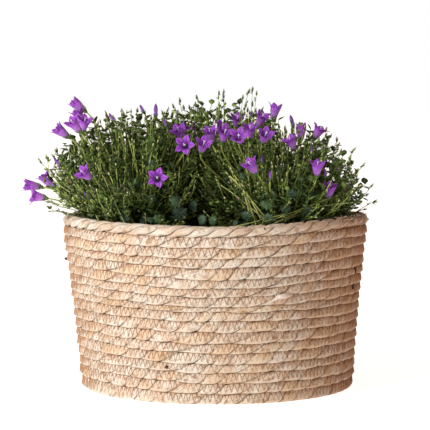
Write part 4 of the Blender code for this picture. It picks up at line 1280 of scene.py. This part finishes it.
def add_leaves(heap, plant):
    """Toothed leaves round and in the mound, on thin stalks, darker deeper in, and behind them the dark
    tangle: a solid core painted with the shade of the clump's depths.
    """
    crown = crown_of(plant)
    size = np.array(PLANTS[plant]["mound"]) * MM
    count = LEAVES_A_PLANT
    turn = np.arange(count) * LEAF_TURN + rng.uniform(-12, 12, count)
    lift = np.degrees(np.arcsin(rng.uniform(0.02, 0.98, count) ** 0.9))
    normal = directions(turn, lift)
    depth = rng.uniform(*LEAF_DEPTHS, (count, 1))
    origins = crown + normal * size * depth
    hang = directions(turn + rng.uniform(-70, 70, count), lift - rng.uniform(30, 100, count))
    growth = unit(normal * 0.35 + hang)
    side = unit(np.cross(growth, normal))
    face = np.cross(side, growth)
    radii = rng.uniform(*LEAF_RADII, count) * MM * (1 - 0.4 * smooth((depth[:, 0] - 0.85) / 0.3))
    middles = origins + growth * radii[:, None]
    reach = origins + growth * radii[:, None] * 2
    keep = in_sector(plant, origins)
    keep &= (reach[:, 2] > RIM_TOP) | (np.hypot(reach[:, 0], reach[:, 1]) < RIM_KEEP)
    keep &= np.linalg.norm(middles[:, None] - flower_middles[None], axis=-1).min(1) > LEAF_GAP
    keep &= (origins[:, 2] > SOIL_TOP + 3 * MM) & (reach[:, 2] > SOIL_TOP + 1 * MM)
    kept = (array[keep] for array in (origins, side, growth, face, radii, depth))
    origins, side, growth, face, radii, depth = kept
    fresh = rng.random((len(origins), 1)) ** 3
    colour = (LEAF_TEAL + (LEAF_FRESH - LEAF_TEAL) * fresh) * rng.uniform(0.55, 1.1, (len(origins), 1))
    # Painted shade: leaves deeper in the mound are darker
    colour *= 0.65 + 0.35 * smooth((depth - 0.7) / 0.25)
    for x, y, z, radius, freshness in FRONT_LEAVES[plant]:
        radius = radius * FRONT_LEAF_SIZE
        way = unit(np.array([rng.normal(0, 0.5), -0.35, rng.choice((-1, 0.7))]))
        out = unit(np.array([x * MM - crown[0], -90 * MM, 25 * MM]))
        own_side = unit(np.cross(way, out))
        origins = np.vstack([origins, np.array([x, y, z]) * MM - way * radius * MM])
        growth = np.vstack([growth, way])
        side = np.vstack([side, own_side])
        face = np.vstack([face, np.cross(own_side, way)])
        radii = np.append(radii, radius * MM)
        own_colour = (LEAF_TEAL + (LEAF_FRESH - LEAF_TEAL) * freshness) * rng.uniform(0.5, 0.95)
        colour = np.vstack([colour, own_colour])
    blades = np.broadcast_to(LEAF_BLADE, (len(origins), *LEAF_BLADE.shape)).reshape(-1, 3)
    axes = np.stack([side, growth, face], axis=1)
    scatter(heap, LEAF_CORNERS, LEAF_FACES, origins, axes, radii, paint=colour)
    heap.values.setdefault("blade", []).append(blades)
    for origin, way, out in zip(origins, growth, face):
        stalk = [
            origin - out * 16 * MM - way * 4 * MM,
            origin - out * 6 * MM - way * 2 * MM,
            origin + way * 2 * MM,
        ]
        tube(heap, stalk, LEAF_STALK_RADIUS, 3, paint=STEM_DARK, blade=OFF_BLADE)
    # A solid core for the tangle deep in the clump, painted with the shade that falls there
    ball = bmesh.new()
    bmesh.ops.create_icosphere(ball, subdivisions=4, radius=1)
    corners = np.array([tuple(vertex.co) for vertex in ball.verts])
    faces = [[vertex.index for vertex in face.verts] for face in ball.faces]
    ball.free()
    lumps = TANGLE_LUMPS * np.sin(corners[:, :1] * 17) * np.sin(corners[:, 1:2] * 15 + 1)
    core = crown + corners * size * (TANGLE_SIZE + lumps + rng.normal(0, 0.02, (len(corners), 1)))
    core[:, 2] = np.maximum(core[:, 2], SOIL_TOP - 2 * MM)
    heap.add(core, faces, paint=SHADED_DEPTH_GREEN, blade=OFF_BLADE)


CALYX_CUP = ((0.0, 0.75), (1.4, 1.7), (3.2, 2.2), (3.5, 1.9))  # height and radius, in millimetres
CALYX_DEPTH = 3.8 * MM  # from a flower's base to the foot of its calyx
CALYX_SEPAL = (2.4 * MM, 1.6 * MM, 5.6 * MM)
FLOWER_STEM_RADIUS = 0.75 * MM


def add_flower_stem(heap, plant, foot, way, cup_scale=1.0):
    """A stem from the clump to a calyx: a round cup with five pointed sepals spread below the flower."""
    crown = crown_of(plant)
    away = foot - crown
    start = crown + away * (0.2, 0.2, 0) + (0, 0, 6 * MM)
    controls = [start, start + away * (0.15, 0.15, 0.5), foot - way * 16 * MM, foot]
    path = curve_points(controls, np.linspace(0.1, 1, 9))
    tube(heap, path, FLOWER_STEM_RADIUS, 5, paint=STEM_GREEN * 0.9)
    heights = np.array([height for height, _ in CALYX_CUP]) * MM * cup_scale
    radii = np.array([radius for _, radius in CALYX_CUP]) * MM * cup_scale
    tube(heap, foot + np.outer(heights, way), radii, 8, paint=CALYX_GREEN * 1.25)
    axes = axes_along(np.repeat(way[None], PETALS, axis=0), np.arange(PETALS) * math.tau / PETALS + 0.6)
    blades = np.repeat([CALYX_SEPAL], PETALS, axis=0) * cup_scale
    origins = np.repeat((foot + way * 2 * MM * cup_scale)[None], PETALS, axis=0)
    green = np.repeat([CALYX_GREEN * 1.2], PETALS, axis=0)
    scatter(heap, SEPAL_CORNERS, SEPAL_FACES, origins, axes, blades, paint=green)


VEIN_RATE = 3.02  # half as many as the veins round the blade's middle
VEIN_PALE = rgb(120, 150, 110)
BLACK = (0.0, 0.0, 0.0, 1.0)


def green_finish(name, veined):
    """Living green, painted corner by corner, mottled, with pale veins on the leaves."""
    finish = Finish(name, {"Specular IOR Level": 0.35})
    mottle = finish.noise(240.0, 3.0)
    colour = finish.mix(mottle.between(0.3, 0.75) * 0.45, finish.painted_vector("paint"), BLACK)
    height = mottle
    if veined:
        x, y, _ = finish.parts(finish.painted_vector("blade"))
        angle = x.math("ARCTAN2", x, y)
        wave = abs(angle.math("COSINE", angle * VEIN_RATE))
        vein = wave.between(0.93, 1.0) * (x * x + y * y).between(1.3, 1.0)
        colour = finish.mix(vein * 0.45, colour, VEIN_PALE)
        height = mottle * 0.5 - vein
    return finish.paint(colour, 0.42 + mottle * 0.25, height, 0.5 * MM)


leaf_finish = green_finish("bellflower_leaf", True)
stem_finish = green_finish("bellflower_stem", False)
violet_bud = Finish("violet_bud", {"Specular IOR Level": 0.3})
bud_tone = violet_bud.noise(300.0, 2.0)
bud_height = violet_bud.painted("height")
bud_colour = violet_bud.mix(bud_height.between(0.1, 0.9), VIOLET_LIGHT, VIOLET_DEEP)
violet_bud.paint(bud_colour, 0.5 + bud_tone * 0.1, bud_tone, 0.3 * MM)

for plant in PLANTS:
    leaves = Heap()
    add_leaves(leaves, plant)
    place(f"leaves_{plant}", leaves.mesh(f"leaves_{plant}", leaf_finish), "leaf_green", f"plant_{plant}")
    sprays = Heap()
    facts = PLANTS[plant]
    for tip in facts["sprigs"]:
        add_spray(sprays, stem_path(plant, np.array(tip) * MM), facts["tone"] * 1.3)
    for path in stem_paths(plant, facts["sprays"], lowest=0.08, inner=0.62):
        add_spray(sprays, path, facts["tone"])
    for path in stem_paths(plant, facts["shoots"], lowest=0.35, inner=0.55):
        add_shoot(sprays, path, facts["tone"])
    for path in stem_paths(plant, facts["stalks"], lowest=0.1, inner=0.6):
        add_stalk(sprays, path, facts["tone"])
    for owner, low, high in SHEAVES:
        if owner == plant:
            add_sheaf(sprays, np.array(low) * MM, np.array(high) * MM)
    for name, (base, axes, _) in flowers.items():
        if name.startswith(f"bloom_{plant}"):
            add_flower_stem(sprays, plant, base - axes[2] * CALYX_DEPTH, axes[2])
    violet = Heap()
    for x, y, z, turn, rise, length in VIOLET_BUDS[plant]:
        foot = np.array([x, y, z]) * MM
        way = directions(turn, rise)
        add_flower_stem(sprays, plant, foot - way * 1.5 * MM, way, VIOLET_CALYX)
        path = foot + np.outer(VIOLET_SHAPE[:, 0] * length * MM, way)
        tube(violet, path, VIOLET_SHAPE[:, 1] * length * VIOLET_WIDTH * MM, 10, height=VIOLET_SHAPE[:, :1])
    place(f"violet_buds_{plant}", violet.mesh(f"violet_buds_{plant}", violet_bud.material), "petal_violet")
    place(f"sprays_{plant}", sprays.mesh(f"sprays_{plant}", stem_finish), "leaf_green", f"plant_{plant}")

# Each flower is a thin violet bell: a tube that opens into five pointed lobes, each with a darker line down
# its middle, and a pale style in its throat. It stands in the calyx at the end of its stem.
PETAL_THICKNESS = 0.3 * MM
TUBE_ROWS = 6
LOBE_ROWS = 10
PETAL_COLUMNS = 5
TUBE_POWER = 0.65  # below 1 makes the bell's tube widen early
LOBE_WIDEST = 0.36
LOBE_POINT = 1.1  # the higher it is, the finer the lobe's point
LOBE_BEND_FROM = 0.55  # of the flare, at the lobe's foot
LOBE_BEND_MORE = 0.62  # of the flare, added up to its point
LOBE_CHANNEL = 0.55 * MM
LOBE_RUFFLE = 0.25 * MM
STYLE_LENGTH = 13 * MM
STYLE_RADII = np.array([0.5, 0.4, 0.38, 0.45, 0.6]) * MM
STYLE_ENDS = 3
STYLE_END_TURN = 2.094  # in radians, a third of a turn
STYLE_END_LENGTH = 1.6  # in millimetres
STYLE_END_RADII = np.array([0.4, 0.35, 0.2]) * MM
STYLE_PAINT = (0.5, 3.0, 0.0)  # higher than any petal, which makes it pale


def corolla(name, base, axes, flare, finish):
    """The bell's petals in two layers, welded along the tube, and the style with its three-parted end."""
    heap = Heap()
    along = np.linspace(0, 1, TUBE_ROWS + 1)
    tube_out = BELL_BASE + (BELL_MOUTH - BELL_BASE) * along**TUBE_POWER
    lobe = np.linspace(0, 1, LOBE_ROWS + 1)[1:]
    bend = flare * (LOBE_BEND_FROM + LOBE_BEND_MORE * np.linspace(0, 1, LOBE_ROWS))
    step = LOBE_LENGTH / LOBE_ROWS
    lobe_out = BELL_MOUTH * math.cos(math.pi / PETALS) + np.cumsum(np.sin(bend)) * step
    lobe_up = BELL_LENGTH + np.cumsum(np.cos(bend)) * step
    start = BELL_MOUTH * math.sin(math.pi / PETALS)
    width = np.where(
        lobe < LOBE_WIDEST,
        start + (LOBE_HALF_WIDTH - start) * np.sin(lobe / LOBE_WIDEST * math.pi / 2),
        LOBE_HALF_WIDTH * np.cos((lobe - LOBE_WIDEST) / (1 - LOBE_WIDEST) * math.pi / 2) ** LOBE_POINT,
    )
    u = np.linspace(-1, 1, PETAL_COLUMNS)
    tube_part = np.stack(
        [
            tube_out[:, None] * np.cos(u * math.pi / PETALS),
            tube_out[:, None] * np.sin(u * math.pi / PETALS),
            np.outer(along * BELL_LENGTH, np.ones_like(u)),
        ],
        axis=-1,
    )
    channel = LOBE_CHANNEL * np.sin(lobe * math.pi)[:, None] * (u**2)[None]
    ruffle = LOBE_RUFFLE * np.sin(lobe * 11 + len(name))[:, None] * np.abs(u)[None] ** 2 * np.sign(u)[None]
    lift = channel + ruffle
    lobe_part = np.stack(
        [
            lobe_out[:, None] - np.cos(bend)[:, None] * lift,
            np.outer(width, u),
            lobe_up[:, None] + np.sin(bend)[:, None] * lift,
        ],
        axis=-1,
    )
    outer = np.concatenate([tube_part, lobe_part])
    slope = np.gradient(outer, axis=0)
    across = np.gradient(outer, axis=1)
    across[-1] = across[-2]
    normal = unit(np.cross(across, slope))
    inner = outer - normal * PETAL_THICKNESS
    rows = TUBE_ROWS + 1 + LOBE_ROWS
    height = np.linspace(0, 1, rows)
    petal = np.stack(np.broadcast_arrays(np.abs(u)[None], height[:, None], rng.uniform()), axis=-1)
    number = np.arange(rows * PETAL_COLUMNS).reshape(rows, PETAL_COLUMNS)
    second = number + number.size
    edge_rows = np.arange(TUBE_ROWS, rows)
    faces = [grid_faces(rows, PETAL_COLUMNS), grid_faces(rows, PETAL_COLUMNS)[:, ::-1] + number.size]
    for column, flip in ((0, 1), (-1, -1)):
        near, far = number[edge_rows, column], second[edge_rows, column]
        faces.append(np.stack([near[:-1], near[1:], far[1:], far[:-1]], axis=1)[:, ::flip])
    faces.append(np.stack([number[0, 1:], number[0, :-1], second[0, :-1], second[0, 1:]], axis=1))
    for index in range(PETALS):
        turn = math.tau * index / PETALS
        c, s = math.cos(turn), math.sin(turn)
        spin = np.array([(c, s, 0), (-s, c, 0), (0, 0, 1)])
        both = np.concatenate([outer.reshape(-1, 3), inner.reshape(-1, 3)]) @ spin @ axes + base
        painted = np.concatenate([petal.reshape(-1, 3)] * 2) + (0, 0, 0.03 * index)
        heap.add(both, np.concatenate(faces), petal=painted)
    style = base + np.outer(np.linspace(0.05, 1, 5), axes[2]) * STYLE_LENGTH
    tube(heap, style, STYLE_RADII, 6, petal=STYLE_PAINT)
    for index in range(STYLE_ENDS):
        turn = index * STYLE_END_TURN
        way = unit(axes[2] * 0.5 + axes[0] * math.cos(turn) + axes[1] * math.sin(turn))
        path = style[-1] + np.outer([0, 0.5, 1], way) * STYLE_END_LENGTH * MM
        tube(heap, path, STYLE_END_RADII, 4, petal=STYLE_PAINT)
    return heap.mesh(name, finish, weld=0.01 * MM)


PETAL_VIOLET = rgb(164, 82, 200)
PETAL_DEEP = rgb(122, 50, 158)
PETAL_PALE = rgb(184, 128, 208)
STYLE_PALE = rgb(226, 214, 226)
petal = Finish("bellflower_petal", {"Specular IOR Level": 0.3})
beside, height, tone = petal.parts(petal.painted_vector("petal"))
veil = petal.noise(220.0, 3.0)
body = petal.mix(height.between(0.5, 0.1), PETAL_VIOLET, PETAL_PALE)
body = petal.mix(tone.between(0.2, 1.1) * 0.35 + veil.between(0.4, 0.7) * 0.25, body, PETAL_DEEP)
midline = beside.between(0.22, 0.0) * height.between(0.2, 0.55) * height.between(1.0, 0.8)
body = petal.mix(midline * 0.75, body, PETAL_DEEP)
body = petal.mix(height.between(1.5, 2.5), body, STYLE_PALE)
petal_finish = petal.paint(body, 0.45 + veil * 0.2, veil * 0.6 - midline, 0.4 * MM)
for name, (base, axes, flare) in flowers.items():
    title = name.replace("bloom", "corolla")
    place(title, corolla(title, base, axes, flare, petal_finish), "petal_violet", name)

# The studio: a white floor and surround, a soft key light high at the front left, a weak warm light from all
# round, and a long lens a little above the basket's rim.
CAMERA_PLACE = (0.0, -2.100, 0.3298)
CAMERA_PITCH = 4.446
CAMERA_LENS = 179.5
KEY_PLACE = (-1.85, -1.7, 1.75)
KEY_AIM = (0, 0, 0.16)
KEY_SIZE = 1.1
KEY_POWER = 72.0
FLOOR_REACH = 9
FLOOR_GLOW = 0.8
FLOOR_DARK = (0.93, 0.93, 0.93, 1.0)
FLOOR_WHITE = (0.95, 0.95, 0.95, 1.0)
WHITE = (1.0, 1.0, 1.0, 1.0)
SURROUND_LIGHT = (0.33, 0.27, 0.22, 1.0)  # what the studio sends back, warmer than the key
floor_corners = [(x * FLOOR_REACH, y * FLOOR_REACH, 0) for x, y in ((-1, -1), (1, -1), (1, 1), (-1, 1))]
floor_mesh = bpy.data.meshes.new("floor")
floor_mesh.from_pydata(floor_corners, [], [(0, 1, 2, 3)])
floor = bpy.data.objects.new("floor", floor_mesh)
bpy.context.scene.collection.objects.link(floor)
floor_glow = {"Emission Color": WHITE, "Emission Strength": FLOOR_GLOW}
floor_finish = Finish("studio_floor", {"Roughness": 0.8, **floor_glow})
floor_colour = floor_finish.mix(floor_finish.noise(3.0, 1.0), FLOOR_DARK, FLOOR_WHITE)
floor_mesh.materials.append(floor_finish.paint(floor_colour))
key = bpy.data.lights.new("key", "AREA")
key.size = KEY_SIZE
key.energy = KEY_POWER
lamp = bpy.data.objects.new("key", key)
lamp.location = KEY_PLACE
lamp.rotation_mode = "QUATERNION"
lamp.rotation_quaternion = (Vector(KEY_AIM) - Vector(KEY_PLACE)).to_track_quat("-Z", "Y")
bpy.context.scene.collection.objects.link(lamp)
world = bpy.data.worlds.new("studio")
world.use_nodes = True
studio = world.node_tree
studio.nodes["Background"].inputs["Color"].default_value = SURROUND_LIGHT
shown = studio.nodes.new("ShaderNodeBackground")
shown.inputs["Color"].default_value = WHITE
choice = studio.nodes.new("ShaderNodeMixShader")
ray = studio.nodes.new("ShaderNodeLightPath")
studio.links.new(ray.outputs["Is Camera Ray"], choice.inputs[0])
studio.links.new(studio.nodes["Background"].outputs[0], choice.inputs[1])
studio.links.new(shown.outputs[0], choice.inputs[2])
studio.links.new(choice.outputs[0], studio.nodes["World Output"].inputs["Surface"])
bpy.context.scene.world = world
bpy.context.scene.view_settings.view_transform = "Standard"
lens = bpy.data.cameras.new("camera")
lens.lens = CAMERA_LENS
lens.sensor_width = 36
lens.clip_end = 50
camera = bpy.data.objects.new("camera", lens)
camera.location = CAMERA_PLACE
camera.rotation_euler = (math.radians(90 - CAMERA_PITCH), 0, 0)
bpy.context.scene.collection.objects.link(camera)
bpy.context.scene.camera = camera
